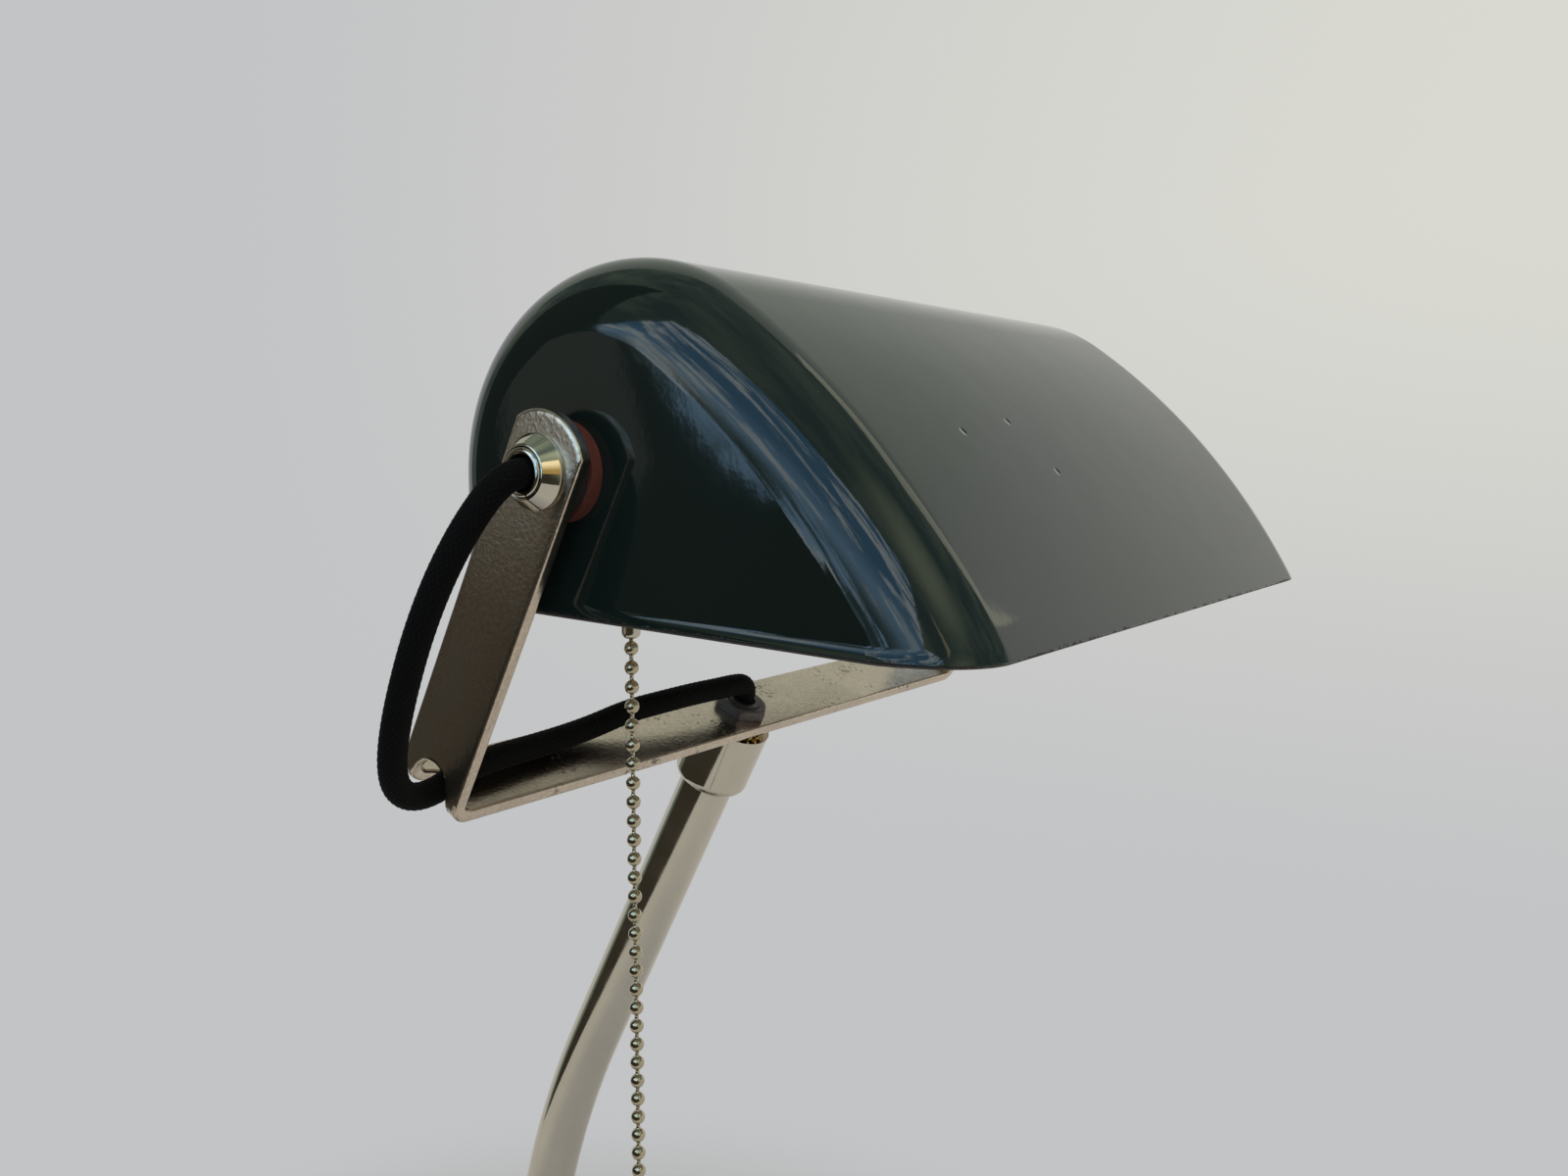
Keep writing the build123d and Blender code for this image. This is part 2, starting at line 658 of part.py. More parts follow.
# Plunger: slides in the switch block, with a wire and one bead that reach out of the guide
swing_height = guide_reach + swing_drop
link_end = swing_height + bead_diameter / 2
with BuildPart() as plunger:
    with BuildSketch(chain_line.offset(plunger_clearance - plunger_top)):
        Circle(plunger_diameter / 2)
    extrude(amount=plunger_length)
    with BuildSketch(chain_line):
        Circle(link_wire_diameter / 2)
    extrude(amount=swing_height)
    with Locations(chain_line.offset(swing_height).origin):
        Sphere(bead_diameter / 2)
plunger.part.label = "switch_plunger"
export_step(plunger.part, "parts/switch_plunger.step")

# Coupling that joins the long chain to the plunger's wire
coupling_start = link_end + coupling_gap
coupling_end = coupling_start + coupling_length
with BuildPart() as coupling:
    with BuildSketch(chain_line.offset(coupling_start)):
        Circle(coupling_diameter / 2)
    extrude(amount=coupling_length)
    fillet(coupling.faces().sort_by(Axis.Z)[0].edges(), coupling_rounding)
    fillet(coupling.faces().sort_by(Axis.Z)[-1].edges(), coupling_shoulder)
coupling.part.label = "chain_coupling"
export_step(coupling.part, "parts/chain_coupling.step")

# Bead chain: hollow balls on a wire, all one string
chain_length = bead_pitch * bead_count
with BuildPart() as chain:
    with BuildSketch(chain_line.offset(coupling_end)):
        Circle(chain_wire_diameter / 2)
    extrude(amount=chain_length)
    first_bead = chain_line.offset(coupling_end + bead_pitch / 2).origin
    with Locations(*[first_bead - (0, 0, bead_pitch * index) for index in range(bead_count)]):
        Sphere(bead_diameter / 2)
chain.part.label = "pull_chain"
export_step(chain.part, "parts/pull_chain.step")

# Bell-shaped pull on the end of the chain
with BuildPart() as chain_pull:
    with BuildSketch(chain_line.offset(coupling_end + chain_length)):
        Circle(bead_diameter / 2)
    with BuildSketch(chain_line.offset(coupling_end + chain_length + pull_length)):
        Circle(pull_diameter / 2)
    loft()
    fillet(chain_pull.faces().sort_by(Axis.Z)[0].edges(), pull_rounding)
chain_pull.part.label = "chain_pull"
export_step(chain_pull.part, "parts/chain_pull.step")

# Cord loop: out of the left nipple, down outside the arm, through the bend and along the bar to the stem.
# The points are in the bracket's directions: along the tilt axis, to the back and up the arms.
cord_points = [
    (-113.5, 0, 0),
    (-118.3, 0, 0),
    (-122.5, -0.2, -2.6),
    (-125.3, -0.4, -7.4),
    (-127.8, -0.5, -14.4),
    (-129.7, -0.6, -23.5),
    (-130.6, -0.8, -35),
    (-130.2, -1, -47),
    (-129.1, -1.2, -58),
    (-127.1, -1.4, -67.5),
    (-123.8, -1.5, -74.8),
    (-118.2, -1.4, -79.2),
    (-111.2, -1, -79.4),
    (-104, 0, -76.2),
    (-95, 0.8, -75.4),
    (-83, 1.6, -75.9),
    (-71, 2.2, -75.8),
    (-60, 2.8, -75.2),
    (-49, 2.4, -72.4),
    (-37, 1.2, -70.9),
    (-25, 0.8, -70.3),
    (-15, 0.4, -70.2),
    (-8.4, 0.2, -70),
    (-3.2, 0.1, -70.5),
    (0, 0, -74.5),
    (0, 0, -79.6),
]
route = [bracket.from_local_coords(Vector(point)) for point in cord_points]
runs = [after - before for before, after in zip(route, route[1:])]
cord_radii = [
    cord_bend_share * min(first.length, second.length) / tan(radians(first.get_angle(second)) / 2)
    for first, second in zip(runs, runs[1:])
]
with BuildPart() as cord_loop:
    with BuildLine() as cord_line:
        FilletPolyline(*route, radius=cord_radii)
    with BuildSketch(Plane(origin=route[0], z_dir=runs[0])):
        Circle(cord_diameter / 2)
    sweep(path=cord_line.wires()[0])
cord_loop.part.label = "cord_loop"
export_step(cord_loop.part, "parts/cord_loop.step")

# Lead inside the stem: on from the loop's end, down the stem and out to the bush in the base
lead_head = bracket.to_local_coords(route[-1]).Z + bracket_drop
with BuildPart() as stem_lead:
    with BuildLine(Plane.YZ) as lead_axis:
        bush_end = (base_radius + outlet_flange_thickness, outlet_height)
        bush_run = Line(bush_end, (outlet_bend_radius, outlet_height))
        outlet_bend = JernArc(bush_run @ 1, (-1, 0), outlet_bend_radius, -90)
        lead_rise = Line(outlet_bend @ 1, (0, base_height + stem_foot_straight))
        lead_bend = JernArc(lead_rise @ 1, (0, 1), stem_bend_radius, bracket_lean)
        PolarLine(lead_bend @ 1, stem_straight + lead_head, 90 + bracket_lean)
    with BuildSketch(back_edge.offset(outlet_flange_thickness)):
        Circle(cord_diameter / 2)
    sweep(path=lead_axis.wires()[0])
stem_lead.part.label = "stem_lead"
export_step(stem_lead.part, "parts/stem_lead.step")

# Lead inside the left nipple: on from the loop's start to the lampholder
with BuildPart() as holder_lead:
    with BuildSketch(Plane(origin=route[0], z_dir=(1, 0, 0))):
        Circle(cord_diameter / 2)
    extrude(amount=-route[0].X - holder_face + holder_hub_length)
holder_lead.part.label = "holder_lead"
export_step(holder_lead.part, "parts/holder_lead.step")
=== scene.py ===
"""Dresses a tilting desk lamp: enamelled shade, strap bracket, braided cord, bead chain and nickel
fittings."""

import json
from math import atan2, cos, pi, radians, sin, sqrt

import bmesh
import bpy
import numpy as np
from bpy.props import FloatProperty, FloatVectorProperty, IntProperty, PointerProperty
from mathutils import Matrix, Vector

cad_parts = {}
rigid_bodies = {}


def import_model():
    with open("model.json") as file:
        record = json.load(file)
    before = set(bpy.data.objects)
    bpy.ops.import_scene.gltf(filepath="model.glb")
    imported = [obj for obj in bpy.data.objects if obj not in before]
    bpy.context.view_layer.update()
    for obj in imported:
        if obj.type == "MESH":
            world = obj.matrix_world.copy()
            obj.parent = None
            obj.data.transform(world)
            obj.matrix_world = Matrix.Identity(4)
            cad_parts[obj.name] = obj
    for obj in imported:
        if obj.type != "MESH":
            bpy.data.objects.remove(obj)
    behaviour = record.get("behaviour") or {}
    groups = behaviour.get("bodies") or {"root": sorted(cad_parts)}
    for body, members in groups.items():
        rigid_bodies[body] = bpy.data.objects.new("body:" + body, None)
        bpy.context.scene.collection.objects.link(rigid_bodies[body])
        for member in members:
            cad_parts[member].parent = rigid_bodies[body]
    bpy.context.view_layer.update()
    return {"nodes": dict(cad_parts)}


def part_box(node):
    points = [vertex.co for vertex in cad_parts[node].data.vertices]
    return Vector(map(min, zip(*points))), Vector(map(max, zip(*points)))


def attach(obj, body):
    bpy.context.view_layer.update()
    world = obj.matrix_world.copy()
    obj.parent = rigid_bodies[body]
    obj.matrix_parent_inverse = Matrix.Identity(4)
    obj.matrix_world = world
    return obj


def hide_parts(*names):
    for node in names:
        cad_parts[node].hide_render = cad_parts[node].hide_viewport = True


bl_info = {
    "name": "Desk lamp dressing",
    "version": (1, 0, 0),
    "blender": (4, 5, 0),
    "location": "3D View > Sidebar > Lamp",
    "description": "Builds the visible pieces and finishes of a tilting desk lamp round its packed frame",
    "category": "Object",
}

for spare in list(bpy.data.objects):
    bpy.data.objects.remove(spare)
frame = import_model()
MM = 0.001


def middle(node):
    """Centre of a node's box."""
    low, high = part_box(node)
    return (low + high) / 2


def span(node):
    """Size of a node's box along X, Y and Z."""
    low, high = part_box(node)
    return high - low


def gap(left, right):
    """Distance along X from one node's right side to another's left side."""
    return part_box(right)[0].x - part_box(left)[1].x


# The tilt axis, and how far the bracket leans forward
PIVOT = Vector((0, middle("left_cone_nut").y, middle("left_cone_nut").z))
LEAN = atan2(middle("bracket_nut").y - PIVOT.y, PIVOT.z - middle("bracket_nut").z)
# The bracket's own directions: along the tilt axis, to the back and up the arms
BRACKET = np.array([[1, 0, 0], [0, cos(LEAN), sin(LEAN)], [0, -sin(LEAN), cos(LEAN)]])


def from_bracket(points):
    """Points in the bracket's directions, measured from the tilt axis, as points of the lamp's frame."""
    return np.array(PIVOT) + np.asarray(points, float) @ BRACKET


def length(name, default, description):
    """A size in metres that a user may change."""
    return FloatProperty(name=name, description=description, default=default, unit="LENGTH", precision=5)


def swept(name, degrees, description):
    """An angle that a user may change."""
    return FloatProperty(name=name, description=description, default=radians(degrees), subtype="ANGLE")


def colour(name, default, description):
    """A surface colour that a user may change."""
    limits = {"size": 3, "min": 0, "max": 1}
    return FloatVectorProperty(name=name, description=description, default=default, subtype="COLOR", **limits)


class ShadeSizes(bpy.types.PropertyGroup):
    """Sizes of the enamelled shade, seen from its end as a back wall, a round crown and a long front."""

    long: length("Length", gap("left_fibre_washer", "right_fibre_washer"), "Length along the tilt axis")
    wall: length("Wall", 1.2 * MM, "Thickness of the enamelled steel")
    back_reach: length("Back reach", 39.8 * MM, "From the tilt axis to the back wall")
    crown_radius: length("Crown radius", 45.59 * MM, "Radius of the round top")
    crown_drop: length("Crown drop", 1.8 * MM, "From the tilt axis down to the centre of the round top")
    crown_sweep: swept("Crown sweep", 124.8, "Angle of the round top")
    front_radius: length("Front radius", 195 * MM, "Radius of the long front")
    front_sweep: swept("Front sweep", 27.2, "Angle of the long front")
    back_depth: length("Back depth", 28.1 * MM, "From the tilt axis down to the rim at the back")
    corner_radius: length("Corner radius", 16.5 * MM, "Rounding between the ends and the rest")
    flare: length("Flare", 1.1 * MM, "How far the rim turns outwards")
    flare_height: length("Flare height", 2.8 * MM, "Height over which the rim turns outwards")
    hole_radius: length("Hole radius", 5.1 * MM, "Radius of the two holes on the tilt axis")


class StrapSizes(bpy.types.PropertyGroup):
    """Sizes of the strap that is bent to a U and carries the shade."""

    width: length("Width", 20 * MM, "Width of the strap")
    thickness: length("Thickness", 3 * MM, "Thickness of the strap")
    bend_radius: length("Bend radius", 5 * MM, "Outer radius of the two bends")
    reach: length("Reach", span("bracket_strap").x / 2, "From the middle to the outer face of an arm")
    drop: length("Drop", 82.3 * MM, "From the tilt axis to the underside of the bar")
    head_radius: length("Head radius", 12.6 * MM, "Radius of the round arm ends")
    pivot_hole: length("Pivot hole", 5.08 * MM, "Radius of the holes on the tilt axis")
    nut_hole: length("Nut hole", 5.1 * MM, "Radius of the hole over the stem")
    cord_hole: length("Cord hole", 6 * MM, "Radius of the cord hole through the left bend")
    edge: length("Edge", 0.7 * MM, "Rounding along the worn edges")


class CordSizes(bpy.types.PropertyGroup):
    """Sizes of the braided cord between the shade and the stem."""

    long: length("Length", 217 * MM, "Length of the cord from the nipple to the stem")
    diameter: length("Diameter", 6.2 * MM, "Diameter over the braid")
    relief: length("Relief", 0.16 * MM, "Height of the braid's threads")
    threads: IntProperty(name="Threads", description="Threads of the braid in each direction", default=16)
    pitch: length("Pitch", 30 * MM, "Length in which a thread goes once round the cord")


class ChainSizes(bpy.types.PropertyGroup):
    """Sizes of the bead chain."""

    bead: length("Bead", 3.2 * MM, "Diameter of a bead")
    pitch: length("Pitch", 4.3 * MM, "From bead to bead")
    wire: length("Wire", 0.9 * MM, "Diameter of the links between the beads")


class LampColours(bpy.types.PropertyGroup):
    """Colours of the lamp's finishes."""

    enamel: colour("Enamel", (0.0078, 0.0162, 0.0150), "Outside of the shade")
    enamel_inside: colour("Inside enamel", (0.72, 0.70, 0.64), "Inside of the shade")
    nickel: colour("Nickel", (0.60, 0.56, 0.48), "Polished nickel")
    chain: colour("Chain", (0.52, 0.455, 0.33), "Warm nickel of the bead chain")
    strap: colour("Strap", (0.68, 0.575, 0.47), "Satin nickel of the strap")
    brass: colour("Brass", (0.78, 0.58, 0.26), "Brass fittings")
    steel: colour("Dark steel", (0.13, 0.12, 0.115), "Oxidised nuts and washers")
    braid: colour("Braid", (0.0024, 0.0023, 0.0022), "Cord's textile")
    red_fibre: colour("Red fibre", (0.115, 0.029, 0.018), "Red fibre washers")
    floor: colour("Floor", (0.72, 0.715, 0.70), "Floor round the lamp")
    backdrop: colour("Backdrop", (0.545, 0.55, 0.56), "Background on its cool side")
    backdrop_warm: colour("Warm backdrop", (0.70, 0.70, 0.645), "Background on its warm side")
    backdrop_high: colour("High backdrop", (0.49, 0.53, 0.46), "Background overhead, in reflections")


def sizes(context):
    """The scene's settings for this lamp."""
    return context.scene.lamp_settings


class LampSettings(bpy.types.PropertyGroup):
    """All settings of the lamp."""

    shade: PointerProperty(type=ShadeSizes)
    strap: PointerProperty(type=StrapSizes)
    cord: PointerProperty(type=CordSizes)
    chain: PointerProperty(type=ChainSizes)
    colours: PointerProperty(type=LampColours)


# Surfaces


def quads(rows, columns, closed=False):
    """Corner numbers of the quads of a grid of points, row after row. A closed grid joins its last column to
    its first."""
    index = np.arange(rows * columns).reshape(rows, columns)
    if closed:
        index = np.hstack([index, index[:, :1]])
    return np.stack([index[:-1, :-1], index[:-1, 1:], index[1:, 1:], index[1:, :-1]], -1).reshape(-1, 4)


def joined(*patches):
    """Several (points, corners) patches as one."""
    starts = np.cumsum([0] + [len(points) for points, corners in patches])
    points = np.concatenate([points for points, corners in patches])
    corners = np.concatenate([corners + start for (_, corners), start in zip(patches, starts)])
    return points, corners


def ring_patch(loop, centre, hole, shares):
    """Rings between an elliptical hole and a closed flat loop round it. Each ring lies a share of the way
    from the hole's edge to the loop, on rays from the hole's centre."""
    ray = (loop - centre) / np.asarray(hole)
    angle = np.arctan2(ray[:, 1], ray[:, 0])
    edge = centre + np.stack([hole[0] * np.cos(angle), hole[1] * np.sin(angle)], -1)
    rings = edge + np.asarray(shares)[:, None, None] * (loop - edge)
    return rings.reshape(-1, 2), quads(len(shares), len(loop), closed=True)


def turned(profile, origin, axis, sides, closed=True):
    """A profile of (along, radius) pairs carried round an axis: a point lies its along distance down the axis
    and its radius out from it, at every angle. A closed profile makes a ring, and an open one starts and ends
    on the axis."""
    axis = Vector(axis).normalized()
    first = axis.orthogonal().normalized()
    second = axis.cross(first)
    profile = np.asarray(profile, float)
    if closed:
        profile = np.vstack([profile, profile[:1]])
    angle = np.arange(sides) * 2 * pi / sides
    round_about = np.cos(angle)[:, None] * np.array(first) + np.sin(angle)[:, None] * np.array(second)
    points = (
        np.array(origin)
        + profile[:, None, :1] * np.array(axis)
        + profile[:, None, 1:] * round_about
    )
    return points.reshape(-1, 3), quads(len(profile), sides, closed=True)


def arcs(centre, radius, angles):
    """Points of arcs about a centre, one arc for each radius, and the directions out of them."""
    out = np.stack([np.cos(angles), np.sin(angles)], -1)
    points = centre + radius[..., None] * out
    return points, np.broadcast_to(out, points.shape)


def stacked(rows, sides, level, turn=0.0):
    """Closed rings about the line through the middle of the bracket, in even steps of the angle. A row is a
    ring's radius and its height over a level, each one number or a number for every step."""
    way = np.arange(sides) * 2 * pi / sides + turn
    radius, height = (np.stack([np.broadcast_to(part, sides) for part in parts]) for parts in zip(*rows))
    points = np.dstack([radius * np.cos(way), radius * np.sin(way), level + height])
    return from_bracket(points.reshape(-1, 3)), quads(len(rows), sides, closed=True)


# Points nearer to each other than this are one point, and shorter edges than this are none
SAME_POINT = 1e-7
NO_EDGE = 1e-8


def add_piece(name, patch, *finishes, smooth=True, solid=True, values=None):
    """A mesh object at the origin from points and quads, with its finishes. Shared points are merged, and a
    closed solid's faces turned outwards by the sign of its volume. Values are named numbers, one for each
    point."""
    points, corners = patch
    mesh = bpy.data.meshes.new(name)
    mesh.from_pydata(points.tolist(), [], corners.tolist())
    for label, numbers in (values or {}).items():
        mesh.attributes.new(label, "FLOAT", "POINT").data.foreach_set("value", np.ravel(numbers).astype("f"))
    work = bmesh.new()
    work.from_mesh(mesh)
    bmesh.ops.remove_doubles(work, verts=work.verts, dist=SAME_POINT)
    bmesh.ops.dissolve_degenerate(work, edges=work.edges, dist=NO_EDGE)
    if solid and work.calc_volume(signed=True) < 0:
        bmesh.ops.reverse_faces(work, faces=work.faces)
    work.to_mesh(mesh)
    work.free()
    if smooth:
        mesh.shade_smooth()
    else:
        mesh.shade_flat()
    for finish in finishes:
        mesh.materials.append(finish(sizes(bpy.context).colours))
    piece = bpy.data.objects.new(name, mesh)
    bpy.context.scene.collection.objects.link(piece)
    return piece


def soften(piece, width, segments, angle):
    """Rounds a piece's sharp edges and keeps its flat faces flat in the light."""
    bevel = piece.modifiers.new("Rounded edges", "BEVEL")
    bevel.width = width
    bevel.segments = segments
    bevel.limit_method = "ANGLE"
    bevel.angle_limit = radians(angle)
    bevel.use_clamp_overlap = False
    flat = piece.modifiers.new("Flat faces", "WEIGHTED_NORMAL")
    flat.keep_sharp = True
    return piece


def thicken(piece, thickness, offset):
    """Gives a sheet its thickness, wholly inside it at an offset of -1 and to both sides at 0."""
    wall = piece.modifiers.new("Thickness", "SOLIDIFY")
    wall.thickness = thickness
    wall.offset = offset
    wall.use_even_offset = True
    return wall


def seat(piece, body, node):
    """The piece moves with a body and takes the place of a node, which is hidden."""
    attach(piece, body)
    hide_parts(node)


# Finishes


# Most values of a noise lie between these
USUAL_NOISE = (0.3, 0.7)


class Nodes:
    """Short ways to put nodes into a tree."""

    def __init__(self, tree):
        self.tree = tree

    def node(self, kind, inputs=None, **settings):
        """A node with its settings made, and its inputs linked or set."""
        made = self.tree.nodes.new("ShaderNode" + kind)
        for key, value in settings.items():
            setattr(made, key, value)
        for key, value in (inputs or {}).items():
            self.feed(made.inputs[key], value)
        return made

    def feed(self, socket, value):
        """Links a socket to another node, or sets it to a value."""
        if isinstance(value, bpy.types.NodeSocket):
            self.tree.links.new(value, socket)
        else:
            socket.default_value = value

    def place(self, stretch=(1, 1, 1)):
        """Object coordinates, stretched."""
        where = self.node("TexCoord").outputs["Object"]
        return self.node("Mapping", {"Vector": where, "Scale": stretch}).outputs["Vector"]

    def noise(self, scale, detail, rough=0.55, stretch=(1, 1, 1)):
        """Soft random patches, scale of them in a metre."""
        inputs = {"Vector": self.place(stretch), "Scale": scale, "Detail": detail, "Roughness": rough}
        return self.node("TexNoise", inputs).outputs["Fac"]

    def level(self, value, low, high, start=0.0, end=1.0):
        """A value's range from low to high spread over start to end, with smooth ends."""
        inputs = {"Value": value, "From Min": low, "From Max": high, "To Min": start, "To Max": end}
        return self.node("MapRange", inputs, interpolation_type="SMOOTHSTEP").outputs["Result"]

    def spread(self, noise, start, end):
        """The values that noise mostly has spread over start to end."""
        return self.level(noise, *USUAL_NOISE, start, end)

    def maths(self, operation, first, second=0.0):
        """Sum, product or other function of two values."""
        return self.node("Math", {0: first, 1: second}, operation=operation).outputs[0]

    def times(self, first, second):
        """Product of two values."""
        return self.maths("MULTIPLY", first, second)

    def attribute(self, name):
        """The numbers that a piece carries under a name."""
        return self.node("Attribute", attribute_name=name).outputs["Fac"]

    def along(self, axis):
        """A place's distance along X, Y or Z."""
        return self.node("SeparateXYZ", {0: self.place()}).outputs[axis]

    def mix(self, factor, first, second):
        """The first colour, passing to the second as the factor goes from 0 to 1."""
        made = self.node("Mix", data_type="RGBA")
        self.feed(made.inputs["Factor"], factor)
        self.feed(made.inputs["A"], paint(first))
        self.feed(made.inputs["B"], paint(second))
        return made.outputs["Result"]

    def bump(self, height, distance, strength, under=None):
        """A normal that follows a height, over another normal if one is given."""
        inputs = {"Height": height, "Distance": distance, "Strength": strength}
        if under is not None:
            inputs["Normal"] = under
        return self.node("Bump", inputs).outputs["Normal"]

    def away(self, place):
        """Distance from a place."""
        where = self.node("TexCoord").outputs["Object"]
        return self.node("VectorMath", {0: where, 1: place}, operation="DISTANCE").outputs["Value"]


class Finish(Nodes):
    """A material being made: its shader, and the nodes before it."""

    made = {}

    def __init__(self, name, **constants):
        self.material = bpy.data.materials.new(name)
        self.material.use_nodes = True
        super().__init__(self.material.node_tree)
        self.shader = self.tree.nodes["Principled BSDF"]
        self.out(**constants)

    def out(self, **inputs):
        """Feeds the shader's own sockets."""
        for socket, value in inputs.items():
            self.feed(self.shader.inputs[socket.replace("_", " ")], value)
        return self.material

    def glow(self, tone):
        """Makes the finish shine with a tone."""
        return self.surface(self.node("Emission", {"Color": paint(tone)}))

    def surface(self, shader):
        """Makes another shader the one that shows."""
        self.feed(self.tree.nodes["Material Output"].inputs["Surface"], shader.outputs[0])
        return self.material


def paint(value):
    """A colour with its alpha, or a socket as it is."""
    return value if isinstance(value, bpy.types.NodeSocket) else (*tuple(value)[:3], 1.0)


def shaded(value, share):
    """A colour made darker or lighter by a share."""
    return tuple(min(1.0, part * share) for part in value)


def once(maker):
    """Makes each finish once and hands the same material out again."""

    def hand_out(colours):
        if maker.__name__ not in Finish.made:
            Finish.made[maker.__name__] = maker(colours)
        return Finish.made[maker.__name__]

    return hand_out


# How far the chips along the rim reach up, from the smallest to the largest
CHIP_REACH = 0.1 * MM, 1.1 * MM
# Three small dents in the front of the shade: the radii of their core and their edge, their depth, and their
# places from the tilt axis
DENT_CORE, DENT_EDGE = 0.2 * MM, 1.2 * MM
DENT_DEPTH = 0.6 * MM
DENTS = ((-0.0539, -0.0636, 0.0080), (-0.0290, -0.0613, 0.0104), (-0.0238, -0.0712, -0.0006))


@once
def petrol_enamel(colours):
    """Glossy dark enamel with a faint orange peel, a few dents in its front and a thin line of chips along
    the rim."""
    finish = Finish("petrol_enamel", IOR=1.52)
    cloud = finish.noise(14, 3)
    body = finish.mix(cloud, shaded(colours.enamel, 0.85), shaded(colours.enamel, 1.2))
    rim = finish.attribute("rim_distance")
    reach = finish.level(finish.noise(520, 5, 0.7), 0.45, 0.78, *CHIP_REACH)
    chipped = finish.maths("LESS_THAN", rim, reach)
    bare = finish.mix(finish.noise(900, 3), (0.006, 0.005, 0.005), (0.030, 0.019, 0.014))
    dent = 1.0
    for place in DENTS:
        dent = finish.times(dent, finish.level(finish.away(PIVOT + Vector(place)), DENT_CORE, DENT_EDGE))
    peel = finish.bump(finish.noise(300, 2), 0.04 * MM, 0.3)
    broad = finish.bump(finish.noise(30, 2), 1 * MM, 0.12, peel)
    return finish.out(
        Base_Color=finish.mix(chipped, body, bare),
        Roughness=finish.maths("ADD", finish.spread(cloud, 0.04, 0.07), finish.times(chipped, 0.5)),
        Normal=finish.bump(dent, DENT_DEPTH, 1.0, broad),
    )


@once
def white_enamel(colours):
    """Warm white enamel with faint clouds and a few grey specks."""
    finish = Finish("white_enamel", IOR=1.5)
    cloud = finish.noise(24, 4)
    tone = finish.mix(cloud, shaded(colours.enamel_inside, 0.92), shaded(colours.enamel_inside, 1.06))
    specks = finish.level(finish.noise(520, 2), 0.71, 0.76)
    return finish.out(
        Base_Color=finish.mix(specks, tone, (0.28, 0.26, 0.24)),
        Roughness=finish.spread(cloud, 0.14, 0.26),
        Normal=finish.bump(finish.noise(260, 2), 0.05 * MM, 0.4),
    )


def mottled(name, noise, tones, roughness, relief=None, **constants):
    """Two tones that pass into each other in soft patches, with a range of roughness that follows them and,
    where it is given, a relief: its height and strength."""
    finish = Finish(name, **constants)
    patch = finish.noise(*noise)
    finish.out(Base_Color=finish.mix(patch, *tones), Roughness=finish.spread(patch, *roughness))
    if relief:
        finish.out(Normal=finish.bump(patch, *relief))
    return finish.material


@once
def bare_rim(colours):
    """Dark brown edge of the sheet, where the enamel has come off."""
    tones = (0.006, 0.005, 0.005), (0.035, 0.021, 0.015)
    return mottled("bare_rim", (500, 5, 0.6), tones, roughness=(0.35, 0.7), relief=(0.2 * MM, 0.6), IOR=1.5)


# The pits of the strap thin out between these distances from the middle of its bar
PITS_END = 98 * MM, 85 * MM


@once
def satin_nickel(colours):
    """Tumbled nickel of the strap: leathery grain, soft brown clouds, and on the bar dark pits in clusters,
    which end before the bends."""
    finish = Finish("satin_nickel", Metallic=1.0)
    grain = finish.noise(1000, 4, 0.6)
    cloud = finish.noise(45, 4, 0.55)
    across = finish.maths("ABSOLUTE", finish.along("X"))
    on_bar = finish.level(across, *PITS_END)
    cluster = finish.times(on_bar, finish.level(finish.noise(75, 3, 0.6), 0.5, 0.62))
    pits = finish.times(cluster, finish.level(finish.noise(650, 5, 0.65), 0.53, 0.62))
    warm = finish.mix(finish.level(cloud, 0.35, 0.7), colours.strap, shaded(colours.strap, 0.86))
    fine = finish.mix(finish.level(grain, 0.35, 0.65, 0.0, 0.45), warm, shaded(colours.strap, 0.65))
    return finish.out(
        Base_Color=finish.mix(pits, fine, shaded(colours.strap, 0.22)),
        Roughness=finish.maths("ADD", finish.spread(cloud, 0.17, 0.24), finish.times(pits, 0.3)),
        Normal=finish.bump(grain, 0.1 * MM, 0.9),
    )


def nickel(name, tone):
    """Mirror nickel with faint smears and hairline scratches."""
    finish = Finish(name, Metallic=1.0)
    smear = finish.noise(70, 4, 0.6)
    lines = finish.noise(260, 2, 0.5, stretch=(1, 1, 14))
    return finish.out(
        Base_Color=finish.mix(smear, shaded(tone, 0.9), shaded(tone, 1.08)),
        Roughness=finish.level(smear, 0.3, 0.75, 0.05, 0.13),
        Normal=finish.bump(lines, 0.02 * MM, 0.1),
    )


@once
def polished_nickel(colours):
    """Nickel of the stem, the base and the fittings."""
    return nickel("polished_nickel", colours.nickel)


@once
def chain_nickel(colours):
    """Nickel of the chain, worn towards its brass."""
    return nickel("chain_nickel", colours.chain)


@once
def dull_brass(colours):
    """Brass with brown tarnish."""
    finish = Finish("dull_brass", Metallic=1.0)
    cloud = finish.noise(130, 5, 0.6)
    return finish.out(
        Base_Color=finish.mix(finish.level(cloud, 0.4, 0.75), colours.brass, shaded(colours.brass, 0.6)),
        Roughness=finish.spread(cloud, 0.16, 0.32),
        Normal=finish.bump(finish.noise(900, 2), 0.03 * MM, 0.25),
    )


@once
def dark_steel(colours):
    """Oxidised steel, nearly black with a trace of rust."""
    finish = Finish("dark_steel", Metallic=0.85)
    cloud = finish.noise(240, 5, 0.62)
    rust = finish.level(finish.noise(330, 5, 0.7), 0.57, 0.72)
    tone = finish.mix(cloud, shaded(colours.steel, 0.7), shaded(colours.steel, 1.35))
    return finish.out(
        Base_Color=finish.mix(rust, tone, (0.10, 0.052, 0.034)),
        Roughness=finish.spread(cloud, 0.42, 0.6),
        Normal=finish.bump(finish.noise(900, 4), 0.15 * MM, 0.6),
    )


